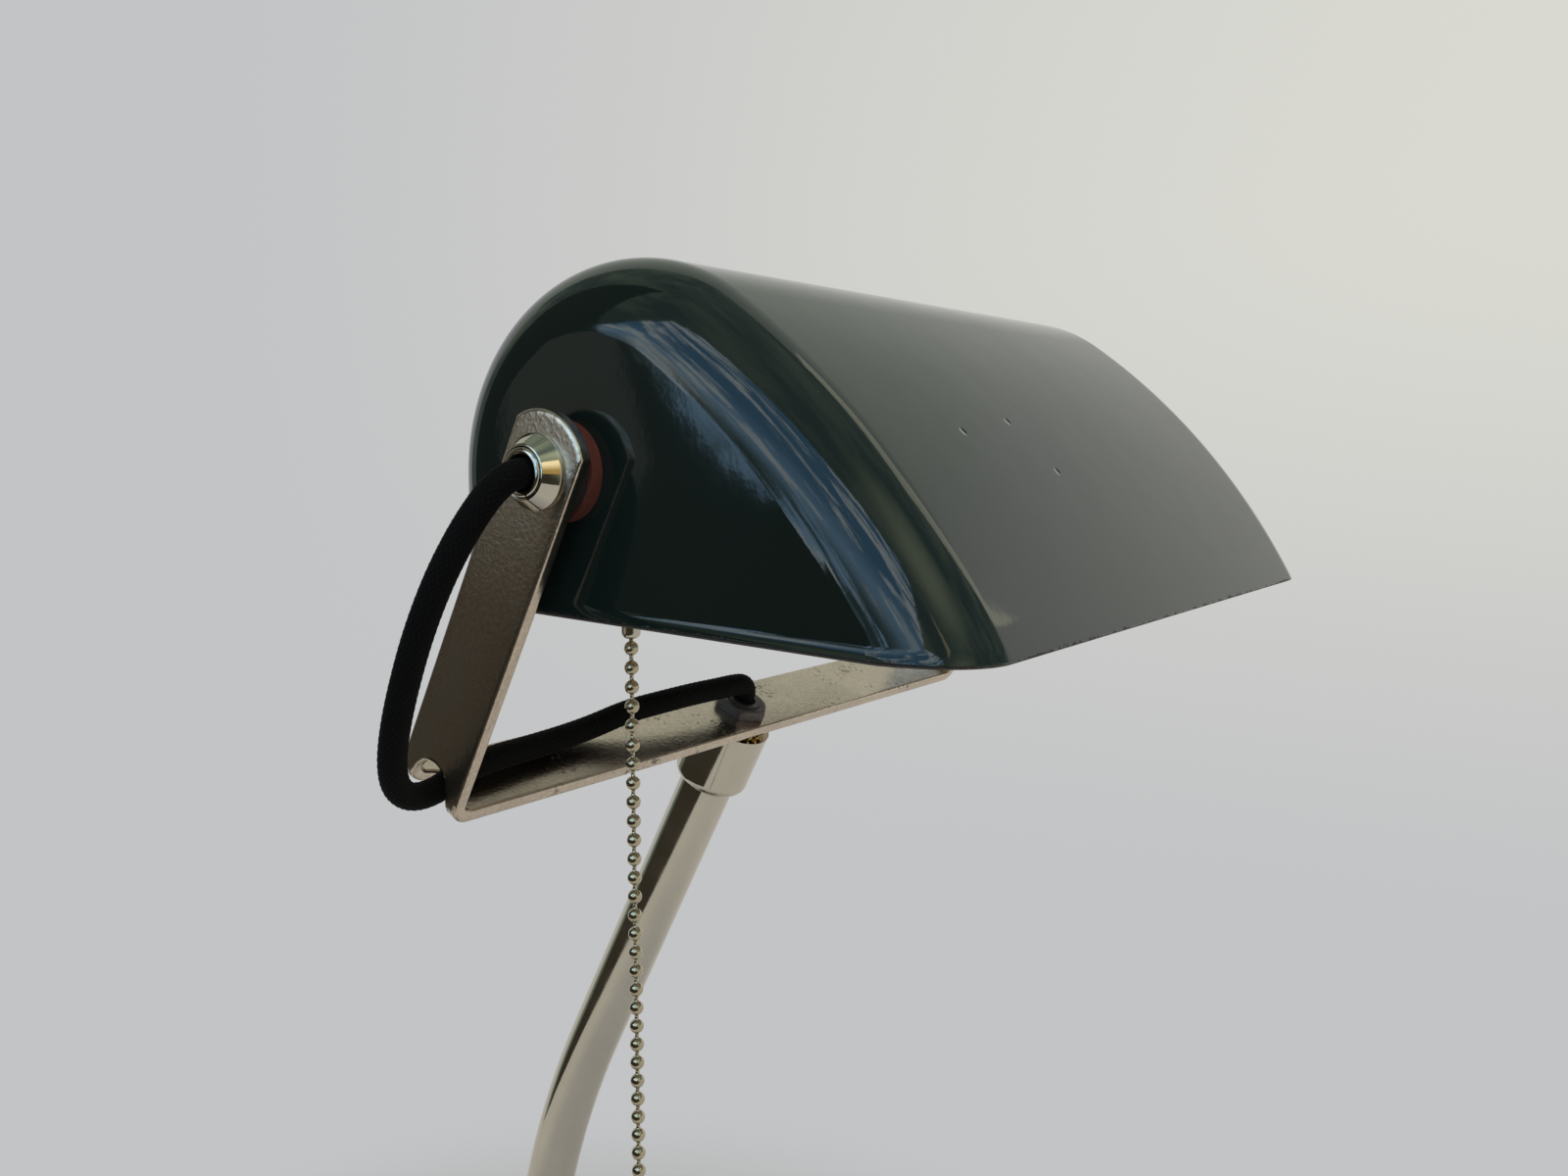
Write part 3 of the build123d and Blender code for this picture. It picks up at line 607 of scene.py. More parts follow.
def fibre(name, base):
    """Pressed fibre: short streaks of a lighter and a darker tone."""
    streaks = (380, 5, 0.65, (3, 1, 1))
    tones = shaded(base, 0.6), shaded(base, 1.4)
    return mottled(name, streaks, tones, roughness=(0.5, 0.7), relief=(0.15 * MM, 0.5), IOR=1.45)


@once
def black_fibre(colours):
    """Black fibre of the washers against the arms."""
    return fibre("black_fibre", (0.014, 0.014, 0.014))


@once
def red_fibre(colours):
    """Red fibre of the washers against the shade."""
    return fibre("red_fibre", colours.red_fibre)


@once
def brown_resin(colours):
    """Dark brown moulded resin with a faint marble."""
    tones = (0.010, 0.007, 0.006), (0.035, 0.02, 0.013)
    return mottled("brown_resin", (90, 6, 0.65), tones, roughness=(0.2, 0.36), IOR=1.55)


@once
def porcelain(colours):
    """White glazed porcelain."""
    tones = (0.76, 0.75, 0.71), (0.82, 0.81, 0.78)
    return mottled("porcelain", (60, 3), tones, roughness=(0.1, 0.2), IOR=1.5)


@once
def frosted_glass(colours):
    """Bulb glass, frosted on its inner face."""
    tones = (0.86, 0.85, 0.83), (0.92, 0.92, 0.9)
    clear = {"IOR": 1.45, "Transmission_Weight": 0.35}
    return mottled("frosted_glass", (80, 3), tones, roughness=(0.28, 0.36), **clear)


@once
def cast_iron(colours):
    """Sand-cast iron."""
    tones = (0.03, 0.03, 0.03), (0.10, 0.095, 0.09)
    grains = (600, 6, 0.65)
    return mottled("cast_iron", grains, tones, roughness=(0.55, 0.75), relief=(0.4 * MM, 0.6), Metallic=0.6)


@once
def green_felt(colours):
    """Felt with short loose fibres."""
    finish = Finish("green_felt", Sheen_Weight=0.5, Sheen_Roughness=0.6, Roughness=0.95)
    fibres = finish.noise(1400, 6, 0.7)
    return finish.out(
        Base_Color=finish.mix(fibres, (0.010, 0.022, 0.014), (0.045, 0.075, 0.05)),
        Normal=finish.bump(fibres, 0.5 * MM, 0.7),
    )


@once
def black_braid(colours):
    """Black cotton braid with painted shade: darker down between the threads and lighter on their backs,
    following the threads' height, with fine yarn across them.
    """
    finish = Finish("black_braid", Sheen_Weight=0.02, Sheen_Roughness=0.5, Specular_IOR_Level=0.06)
    height = finish.attribute("thread_height")
    yarn = finish.noise(2600, 4, 0.7)
    # Painted shade: the braid's colour runs from dark in the hollows between the threads to light on their
    # backs, by the thread height
    tone = finish.mix(height, shaded(colours.braid, 0.45), shaded(colours.braid, 1.7))
    return finish.out(
        Base_Color=finish.mix(finish.level(yarn, 0.35, 0.8, 0, 0.6), tone, shaded(colours.braid, 2.6)),
        Roughness=finish.spread(yarn, 0.62, 0.85),
        Normal=finish.bump(yarn, 0.12 * MM, 0.6),
    )


# The finish that each of the record's material slots gets
SLOT_FINISH = {
    "enamel": petrol_enamel,
    "satin_nickel": satin_nickel,
    "polished_nickel": polished_nickel,
    "dark_steel": dark_steel,
    "brass": dull_brass,
    "black_fibre": black_fibre,
    "red_fibre": red_fibre,
    "bakelite": brown_resin,
    "porcelain": porcelain,
    "glass": frosted_glass,
    "cast_iron": cast_iron,
    "felt": green_felt,
    "braid": black_braid,
}


# Pieces


# The cord's route in the bracket's directions, in millimetres: along the tilt axis, to the back and up the
# arms
CORD_ROUTE = [
    (-113.5, 0, 0), (-118.3, 0, 0), (-122.5, -0.2, -2.6), (-125.3, -0.4, -7.4),
    (-127.8, -0.5, -14.4), (-129.7, -0.6, -23.5), (-130.6, -0.8, -35), (-130.2, -1, -47),
    (-129.1, -1.2, -58), (-127.1, -1.4, -67.5), (-123.8, -1.5, -74.8), (-118.2, -1.4, -79.2),
    (-111.2, -1, -79.4), (-104, 0, -76.2), (-95, 0.8, -75.4), (-83, 1.6, -75.9),
    (-71, 2.2, -75.8), (-60, 2.8, -75.2), (-49, 2.4, -72.4), (-37, 1.2, -70.9),
    (-25, 0.8, -70.3), (-15, 0.4, -70.2), (-8.4, 0.2, -70), (-3.2, 0.1, -70.5),
    (0, 0, -74.5), (0, 0, -79.6),
]


def smooth_line(points, steps=24):
    """The points' own smooth curve, a NURBS line of order 3 with them as control points, as points along
    it."""
    curve = bpy.data.curves.new("cord_line", "CURVE")
    curve.dimensions = "3D"
    spline = curve.splines.new("NURBS")
    spline.points.add(len(points) - 1)
    spline.points.foreach_set("co", np.hstack([points, np.ones((len(points), 1))]).ravel())
    spline.order_u = 3
    spline.use_endpoint_u = True
    spline.resolution_u = steps
    holder = bpy.data.objects.new("cord_line", curve)
    bpy.context.scene.collection.objects.link(holder)
    bpy.context.view_layer.update()
    line = bpy.data.meshes.new_from_object(holder)
    found = np.empty(len(line.vertices) * 3)
    line.vertices.foreach_get("co", found)
    bpy.data.objects.remove(holder)
    bpy.data.curves.remove(curve)
    bpy.data.meshes.remove(line)
    return found.reshape(-1, 3)


def evenly(line, count):
    """Points at even distances along a line of points."""
    run = np.concatenate([[0], np.cumsum(np.linalg.norm(np.diff(line, axis=0), axis=1))])
    goal = np.linspace(0, run[-1], count)
    return np.stack([np.interp(goal, run, line[:, axis]) for axis in range(3)], -1), goal


class LAMP_OT_cord(bpy.types.Operator):
    """Build the braided cord that loops from the tilt axis to the stem"""

    bl_idname = "lamp.cord"
    bl_label = "Braided cord"

    # Points round the cord, and rows along it
    around, along = 128, 700
    # How blunt a thread's pillow is along its own direction
    pillow = 0.35

    def execute(self, context):
        """A tube along the cord's line. Its radius rises and falls with two sets of threads that wind
        opposite ways: where they cross, one set and then the other lies on top, each as a rounded pillow
        longer in its own direction."""
        cord = sizes(context).cord
        line = smooth_line(from_bracket(np.array(CORD_ROUTE) * MM))
        path, run = evenly(line, self.along)
        ahead = np.gradient(path, axis=0)
        ahead /= np.linalg.norm(ahead, axis=1, keepdims=True)
        side = np.cross(ahead, BRACKET[1])
        side /= np.linalg.norm(side, axis=1, keepdims=True)
        other = np.cross(ahead, side)
        angle = np.arange(self.around) * 2 * pi / self.around
        turn, travel = np.meshgrid(angle / (2 * pi) * cord.threads, run / cord.pitch * cord.threads)
        right, left = turn + travel, turn - travel
        on_top = (np.floor(right) + np.floor(left)) % 2 < 1
        wave_right, wave_left = np.abs(np.sin(pi * right)), np.abs(np.sin(pi * left))
        height = np.where(
            on_top, wave_right * wave_left ** self.pillow, wave_left * wave_right ** self.pillow
        )
        radius = cord.diameter / 2 - cord.relief * (1 - height)
        outwards = np.cos(angle)[:, None] * side[:, None] + np.sin(angle)[:, None] * other[:, None]
        points = path[:, None] + radius[..., None] * outwards
        ends = np.repeat(path[[0, -1], None], self.around, axis=1)
        points = np.concatenate([ends[:1], points, ends[1:]])
        height = np.pad(height, ((1, 1), (0, 0)))
        patch = points.reshape(-1, 3), quads(self.along + 2, self.around, closed=True)
        piece = add_piece("braided_cord", patch, black_braid, values={"thread_height": height})
        seat(piece, "stand", "cord_loop")
        return {"FINISHED"}


class LAMP_OT_shade(bpy.types.Operator):
    """Build the enamelled shade with its flared, chipped rim"""

    bl_idname = "lamp.shade"
    bl_label = "Enamelled shade"

    # Rows of points near the rim, up the back, over the crown and down the front, and how they crowd towards
    # the rim
    rim_rows, back_rows, crown_rows, front_rows = 9, 7, 72, 34
    rim_crowding = 1.5
    # Height of the back's rows over the flare, and how much further apart the front's lie, as it meets the
    # rim aslant
    back_rise = 20 * MM
    front_slant = 1.2
    # Rows round a corner and along the body, rings on a flat end, and points along the end's lower edge
    corner_rows, body_rows = 22, 25
    inner_rings, outer_rings, edge_points = 12, 10, 40
    # Share of the end that the inner rings fill, and how the outer ones crowd towards the corner
    inner_share, ring_crowding = 0.88, 1.6
    # Rounding of the rim's edges: width, steps and least angle
    rim_rounding = (0.3 * MM, 2, 60)
    # How soon the flare fades where the wall leans outwards
    lean_fade = 1.12

    def outline(self, shade, inset):
        """The end outline, set inwards by each inset, from the back rim over the crown to the front rim: a
        straight back, an arc for the crown and a wider arc for the front, both with their radius less the
        inset, and cut by the rim's plane. Gives places and outward directions across the shade, one row for
        each inset."""
        inset = np.asarray(inset, float)[:, None]
        crown_centre = np.array([shade.back_reach - shade.crown_radius, -shade.crown_drop])
        spare = shade.crown_radius - shade.front_radius
        front_centre = crown_centre + spare * np.array([cos(shade.crown_sweep), sin(shade.crown_sweep)])
        last = shade.crown_sweep + shade.front_sweep
        rim_y, rim_z = front_centre + shade.front_radius * np.array([cos(last), sin(last)])
        slope = (rim_z + shade.back_depth) / (rim_y - shade.back_reach)
        self.rim_slope = slope
        self.rim_level = -shade.back_depth - slope * shade.back_reach
        near_rim = shade.flare_height * np.linspace(0, 1, self.rim_rows) ** self.rim_crowding
        back_y = shade.back_reach - inset
        rise = 1 - np.cos(np.linspace(0, pi / 2, self.back_rows)[1:-1])
        up = np.concatenate([near_rim, shade.flare_height + rise * self.back_rise])
        back = np.stack([back_y + 0 * up, self.rim_level + slope * back_y + up], -1)
        turn = np.linspace(0, shade.crown_sweep, self.crown_rows)
        crown, over = arcs(crown_centre, shade.crown_radius - inset, turn)
        front_radius = shade.front_radius - inset
        height = self.rim_level + slope * front_centre[0] - front_centre[1]
        end = np.arctan(slope) + pi - np.arcsin(height / (front_radius * sqrt(1 + slope ** 2)))
        rows = np.linspace(0, 1, self.front_rows)[1:]
        close = end - near_rim[::-1] * self.front_slant / front_radius
        sweep = shade.crown_sweep + (close[:, :1] - shade.crown_sweep) * rows
        front, down = arcs(front_centre, front_radius, np.concatenate([sweep, close[:, 1:]], 1))
        flat = np.broadcast_to([1.0, 0.0], back.shape)
        return np.concatenate([back, crown, front], 1), np.concatenate([flat, over, down], 1)

    def execute(self, context):
        """The outline carried along X. Towards each end it is set inwards along a quarter circle, which
        rounds the corner, and rings round the tilt axis fill the flat end. Near the rim every point moves
        outwards by the flare, which grows with the square of the nearness to the rim and fades where the wall
        leans outwards by itself."""
        shade = sizes(context).shade
        quarter = np.linspace(0, pi / 2, self.corner_rows)
        body = np.linspace(-1, 1, self.body_rows)[1:-1] * (shade.long / 2 - shade.corner_radius)
        corner_x = shade.long / 2 - shade.corner_radius * (1 - np.sin(quarter))
        inset = shade.corner_radius * (1 - np.cos(quarter))
        places, ways = self.outline(shade, np.concatenate([inset[::-1], np.zeros(len(body)), inset]))
        along = np.concatenate([-corner_x[::-1], body, corner_x])
        lean_x = np.concatenate([-np.sin(quarter)[::-1], 0 * body, np.sin(quarter)])
        lean_out = np.concatenate([np.cos(quarter)[::-1], 1 + 0 * body, np.cos(quarter)])
        rows, columns = places.shape[:2]
        grid = np.dstack([np.repeat(along[:, None], columns, 1), places])
        normal = np.dstack([np.repeat(lean_x[:, None], columns, 1), ways * lean_out[:, None, None]])
        patches, normals = [(grid.reshape(-1, 3), quads(rows, columns))], [normal.reshape(-1, 3)]
        outer = (1 - self.inner_share) * np.linspace(1, 0, self.outer_rings)[1:] ** self.ring_crowding
        shares = np.concatenate([np.linspace(0, self.inner_share, self.inner_rings), 1 - outer])
        for end in (0, -1):
            loop = places[end]
            chord = loop[-1] + np.linspace(0, 1, self.edge_points)[1:-1, None] * (loop[0] - loop[-1])
            points, corners = ring_patch(
                np.vstack([loop, chord]), np.zeros(2), (shade.hole_radius, shade.hole_radius), shares
            )
            side = np.sign(along[end])
            patches.append((np.column_stack([np.full(len(points), along[end]), points]),
                            corners if side < 0 else corners[:, ::-1]))
            normals.append(np.broadcast_to([side, 0.0, 0.0], (len(points), 3)))
        points, corners = joined(*patches)
        above = points[:, 2] - self.rim_level - self.rim_slope * points[:, 1]
        near = np.clip(1 - above / shade.flare_height, 0, 1)
        ways = np.concatenate(normals)
        upright = 1 - self.lean_fade * ways[:, 2] / ways[:, 2].max(where=near > 0, initial=0)
        points[:, :2] += ways[:, :2] * (shade.flare * near ** 2 * upright)[:, None]
        piece = add_piece(
            "enamelled_shade",
            (points + np.array(PIVOT), corners),
            petrol_enamel,
            white_enamel,
            bare_rim,
            solid=False,
            values={"rim_distance": above},
        )
        wall = thicken(piece, shade.wall, -1)
        wall.material_offset = 1
        wall.material_offset_rim = 2
        soften(piece, *self.rim_rounding)
        seat(piece, "shade", "shade_shell")
        return {"FINISHED"}


class LAMP_OT_strap(bpy.types.Operator):
    """Build the strap bracket with its round arm ends, holes and worn edges"""

    bl_idname = "lamp.strap"
    bl_label = "Strap bracket"

    # Points across the strap, rings round a hole, rows along a strip, and rows round a bend with the gap
    # beside it
    across_points, hole_rings, strip_rows, bend_rows = 15, 7, 40, 17
    bend_gap = 0.2 * MM
    # Points along the side of a stretch with a hole and of a round end, and round the end
    hole_points, end_points, round_points = 49, 29, 49
    # Metal left beside the cord hole before the next strip
    margin = 1.8 * MM

    def runs(self, strap):
        """Half the straight length of the bar, and the radius of a bend at the middle of the strap."""
        return strap.reach - strap.bend_radius, strap.bend_radius - strap.thickness / 2

    def bent(self, strap, flat):
        """The flat strap bent to a U: a point's way along the strap runs along the bar, round the bend's
        quarter circle and up the arm, and its way across stays."""
        bar, bend = self.runs(strap)
        way = np.abs(flat[:, 0])
        turn = np.clip((way - bar) / bend, 0, pi / 2)
        rise = np.maximum(way - bar - bend * pi / 2, 0)
        x = np.sign(flat[:, 0]) * (np.minimum(way, bar) + bend * np.sin(turn))
        up = strap.thickness / 2 - strap.drop + bend * (1 - np.cos(turn)) + rise
        return from_bracket(np.column_stack([x, flat[:, 1], up]))

    def execute(self, context):
        """Strips and ringed holes laid side by side along the flat strap, bent to a U and given their
        thickness."""
        strap = sizes(context).strap
        bar, bend = self.runs(strap)
        arc = bend * pi / 2
        half = strap.width / 2
        axis = bar + arc + strap.drop - strap.bend_radius
        neck = axis - half
        columns = np.linspace(-half, half, self.across_points)
        shares = np.linspace(0, 1, self.hole_rings)

        def strip(start, stop):
            """Rows across the strap, close together where it bends."""
            rows = np.linspace(start, stop, self.strip_rows)
            for middle_of_bend in (-bar - arc / 2, bar + arc / 2):
                if start < middle_of_bend < stop:
                    bent = np.linspace(middle_of_bend - arc / 2, middle_of_bend + arc / 2, self.bend_rows)
                    clear = np.abs(rows - middle_of_bend) > arc / 2 + self.bend_gap
                    rows = np.sort(np.concatenate([rows[clear], bent]))
            way, across = np.meshgrid(rows, columns, indexing="ij")
            return np.column_stack([way.ravel(), across.ravel()]), quads(len(rows), len(columns))

        def line(way, across):
            """Points in a line along or across the strap."""
            return np.column_stack(np.broadcast_arrays(way, across))

        def framed(sides, far_end, centre, hole):
            """A stretch of the strap round a hole: a straight near end, straight sides and a far end."""
            start, sides = sides[0], sides[1:-1]
            near_end = line(start, columns[::-1])
            loop = np.vstack([near_end, line(sides, -half), far_end, line(sides[::-1], half)])
            return ring_patch(loop, np.array([centre, 0]), hole, shares)

        def holed(start, stop, hole):
            """A square of the strap with a hole in it."""
            sides = np.linspace(start, stop, self.hole_points)
            return framed(sides, line(stop, columns), (start + stop) / 2, hole)

        def head(side):
            """The end of an arm: straight sides up to a round edge about the tilt axis."""
            corner = np.arcsin(half / strap.head_radius)
            turn = np.linspace(-corner, corner, self.round_points)
            sides = np.linspace(neck, axis + strap.head_radius * cos(corner), self.end_points)
            far_end, _ = arcs((axis, 0), np.array(strap.head_radius), turn)
            points, corners = framed(sides, far_end, axis, (strap.pivot_hole, strap.pivot_hole))
            return (points, corners) if side > 0 else (points * (-1, -1), corners)

        cord_middle = -bar - arc / 2
        cord_reach = arc / 2 + (strap.cord_hole - bend * sin(pi / 4)) / cos(pi / 4)
        cord_start, cord_stop = cord_middle - cord_reach - self.margin, cord_middle + cord_reach + self.margin
        pieces = [
            head(-1),
            strip(-neck, cord_start),
            holed(cord_start, cord_stop, (cord_reach, strap.cord_hole)),
            strip(cord_stop, -half),
            holed(-half, half, (strap.nut_hole, strap.nut_hole)),
            strip(half, neck),
            head(1),
        ]
        flat, corners = joined(*pieces)
        piece = add_piece("bracket", (self.bent(strap, flat), corners), satin_nickel, solid=False)
        work = bmesh.new()
        work.from_mesh(piece.data)
        bmesh.ops.recalc_face_normals(work, faces=work.faces)
        work.to_mesh(piece.data)
        work.free()
        thicken(piece, strap.thickness, 0)
        soften(piece, strap.edge, segments=3, angle=60)
        seat(piece, "stand", "bracket_strap")
        return {"FINISHED"}


class LAMP_OT_chain(bpy.types.Operator):
    """Build the bead chain"""

    bl_idname = "lamp.chain"
    bl_label = "Bead chain"

    # Rows along a bead, and points round it
    rows, sides = 15, 28

    def execute(self, context):
        """One profile turned about the chain's line: circles of bead radius, with the link wire's radius
        between them."""
        chain = sizes(context).chain
        low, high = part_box("pull_chain")
        count = round((high.z - low.z) / chain.pitch)
        reach = sqrt(chain.bead ** 2 - chain.wire ** 2) / 2
        ball = np.linspace(-reach, reach, self.rows)
        ball = reach * np.sin(pi / 2 * ball / reach)
        radius = np.sqrt(chain.bead ** 2 / 4 - ball ** 2)
        middles = low.z + chain.pitch * (np.arange(count) + 0.5)
        along = (middles[:, None] + ball).ravel()
        profile = np.column_stack([along, np.tile(radius, count)])
        wire = chain.wire / 2
        profile = np.vstack([(low.z, 0), (low.z, wire), profile, (high.z, wire), (high.z, 0)])
        line = middle("pull_chain")
        patch = turned(profile, (line.x, line.y, 0), (0, 0, 1), self.sides, closed=False)
        piece = add_piece("bead_chain", patch, chain_nickel)
        seat(piece, "chain", "pull_chain")
        return {"FINISHED"}


class LAMP_OT_cone_nuts(bpy.types.Operator):
    """Build the polished cone nuts and the lips of the nipples on the tilt axis"""

    bl_idname = "lamp.cone_nuts"
    bl_label = "Cone nuts"

    land = 0.7 * MM
    small_radius = 5.6 * MM
    bore = 5.1 * MM
    nipple_bore = 3.5 * MM
    # Points round a nut and a nipple, and how their edges are rounded: width, steps and least angle
    nut_sides, nipple_sides = 96, 72
    nut_rounding = (0.18 * MM, 3, 20)
    nipple_rounding = (0.7 * MM, 4, 40)

    def nut(self, long, radius):
        """A land and a cone round the bore."""
        cone = [(self.land, radius), (long, self.small_radius)]
        return [(0, self.bore), (0, radius), *cone, (long, self.bore)]

    def nipple(self, long, radius):
        """A plain wall round the bore."""
        return [(0, self.nipple_bore), (0, radius), (long, radius), (long, self.nipple_bore)]

    def execute(self, context):
        """Closed profiles turned about the tilt axis, each from its node's inner end to its outer end."""
        kinds = (
            ("cone_nut", "polished_cone", self.nut, self.nut_sides, self.nut_rounding),
            ("nipple", "lipped_nipple", self.nipple, self.nipple_sides, self.nipple_rounding),
        )
        for end, facing in (("left", -1), ("right", 1)):
            for kind, name, profile, around, rounding in kinds:
                node = f"{end}_{kind}"
                size = span(node)
                start = middle(node) - Vector((facing * size.x / 2, 0, 0))
                patch = turned(profile(size.x, size.z / 2), start, (facing, 0, 0), around)
                piece = add_piece(f"{end}_{name}", patch, polished_nickel)
                seat(soften(piece, *rounding), "shade", node)
        return {"FINISHED"}


class LAMP_OT_bracket_nut(bpy.types.Operator):
    """Build the thin chamfered hex nut on the bracket"""

    bl_idname = "lamp.bracket_nut"
    bl_label = "Bracket nut"

    across_flats = 14 * MM
    thick = 3 * MM
    bore = 5.1 * MM
    face_radius = 6.6 * MM
    chamfer = radians(30)
    turn = radians(37)
    # Points round the nut, and how its edges are rounded: width, steps and least angle
    sides = 144
    rounding = (0.15 * MM, 2, 25)

    def execute(self, context):
        """A ring whose outer radius follows a hexagon. Its upper face ends on a circle inside the flats, and
        from there the height falls with the radius, as a chamfer cone cuts it."""
        angle = np.arange(self.sides) * 2 * pi / self.sides
        outer = self.across_flats / 2 / np.cos(angle % (pi / 3) - pi / 6)
        fall = (outer - self.face_radius) * np.tan(self.chamfer)
        lower = [(self.bore, 0), (outer, 0), (outer, self.thick - fall)]
        upper = [(self.face_radius, self.thick), (self.bore, self.thick)]
        strap = sizes(context).strap
        patch = stacked([*lower, *upper, lower[0]], self.sides, strap.thickness - strap.drop, self.turn)
        nut = add_piece("thin_hex_nut", patch, dark_steel)
        seat(soften(nut, *self.rounding), "stand", "bracket_nut")
        return {"FINISHED"}


class LAMP_OT_lock_washer(bpy.types.Operator):
    """Build the toothed lock washer under the bracket"""

    bl_idname = "lamp.lock_washer"
    bl_label = "Lock washer"

    teeth = 20
    bore = 5.2 * MM
    root = 7.6 * MM
    outer = 9.5 * MM
    sheet = 0.7 * MM
    thick = 2 * MM
    # Points round the washer
    sides = 320
    # How steep a tooth's sides are, and the share of the free height that its twist takes to each side
    steepness = 3
    twist_share = 0.48

    def execute(self, context):
        """A thin ring in the middle of the washer's thickness. Outside its root circle the radius swings
        between gaps and teeth as a steep wave of the angle, and each tooth is twisted: its height follows the
        same wave a quarter turn later."""
        wave = np.arange(self.sides) * 2 * pi * self.teeth / self.sides
        tooth = 0.5 + 0.5 * np.tanh(self.steepness * np.cos(wave))
        outer = self.root + (self.outer - self.root) * tooth
        twist = (self.thick - self.sheet) * self.twist_share * np.sin(wave)
        half = self.sheet / 2
        lower = [(self.bore, -half), (self.root, -half), (outer, twist - half)]
        upper = [(outer, twist + half), (self.root, half), (self.bore, half)]
        level = -sizes(context).strap.drop - self.thick / 2
        patch = stacked([*lower, *upper, lower[0]], self.sides, level)
        washer = add_piece("toothed_washer", patch, dull_brass, smooth=False)
        seat(washer, "stand", "bracket_lock_washer")
        return {"FINISHED"}


class LAMP_OT_finishes(bpy.types.Operator):
    """Give every piece that stays as it was packed its finish"""

    bl_idname = "lamp.finishes"
    bl_label = "Finishes"

    def execute(self, context):
        """Each node's packed material is named after its slot, which picks the finish."""
        colours = sizes(context).colours
        for node in frame["nodes"].values():
            slot = node.data.materials[0].name.split(".")[0]
            node.data.materials[0] = SLOT_FINISH[slot](colours)
        return {"FINISHED"}


# Stage


# The floor fades between these distances from its middle
FLOOR_FADE = 130 * MM, 300 * MM


@once
def pale_floor(colours):
    """Matt pale floor, which passes into the background away from the lamp."""
    finish = Finish("floor", Roughness=0.9, Specular_IOR_Level=0.1, Base_Color=paint(colours.floor))
    fade = finish.level(finish.away((0, 0, 0)), *FLOOR_FADE)
    mixed = finish.node("MixShader", {0: fade, 2: finish.node("BsdfTransparent").outputs[0]})
    finish.feed(mixed.inputs[1], finish.shader.outputs[0])
    return finish.surface(mixed)


def square_to(axis, place, corners):
    """Corners of a flat card square to X, Y or Z, at a place along it."""
    return np.insert(np.asarray(corners, float), "XYZ".index(axis), place, axis=1)


def oblong(left, right, low, high):
    """Corners of an oblong."""
    return [(left, low), (right, low), (right, high), (left, high)]


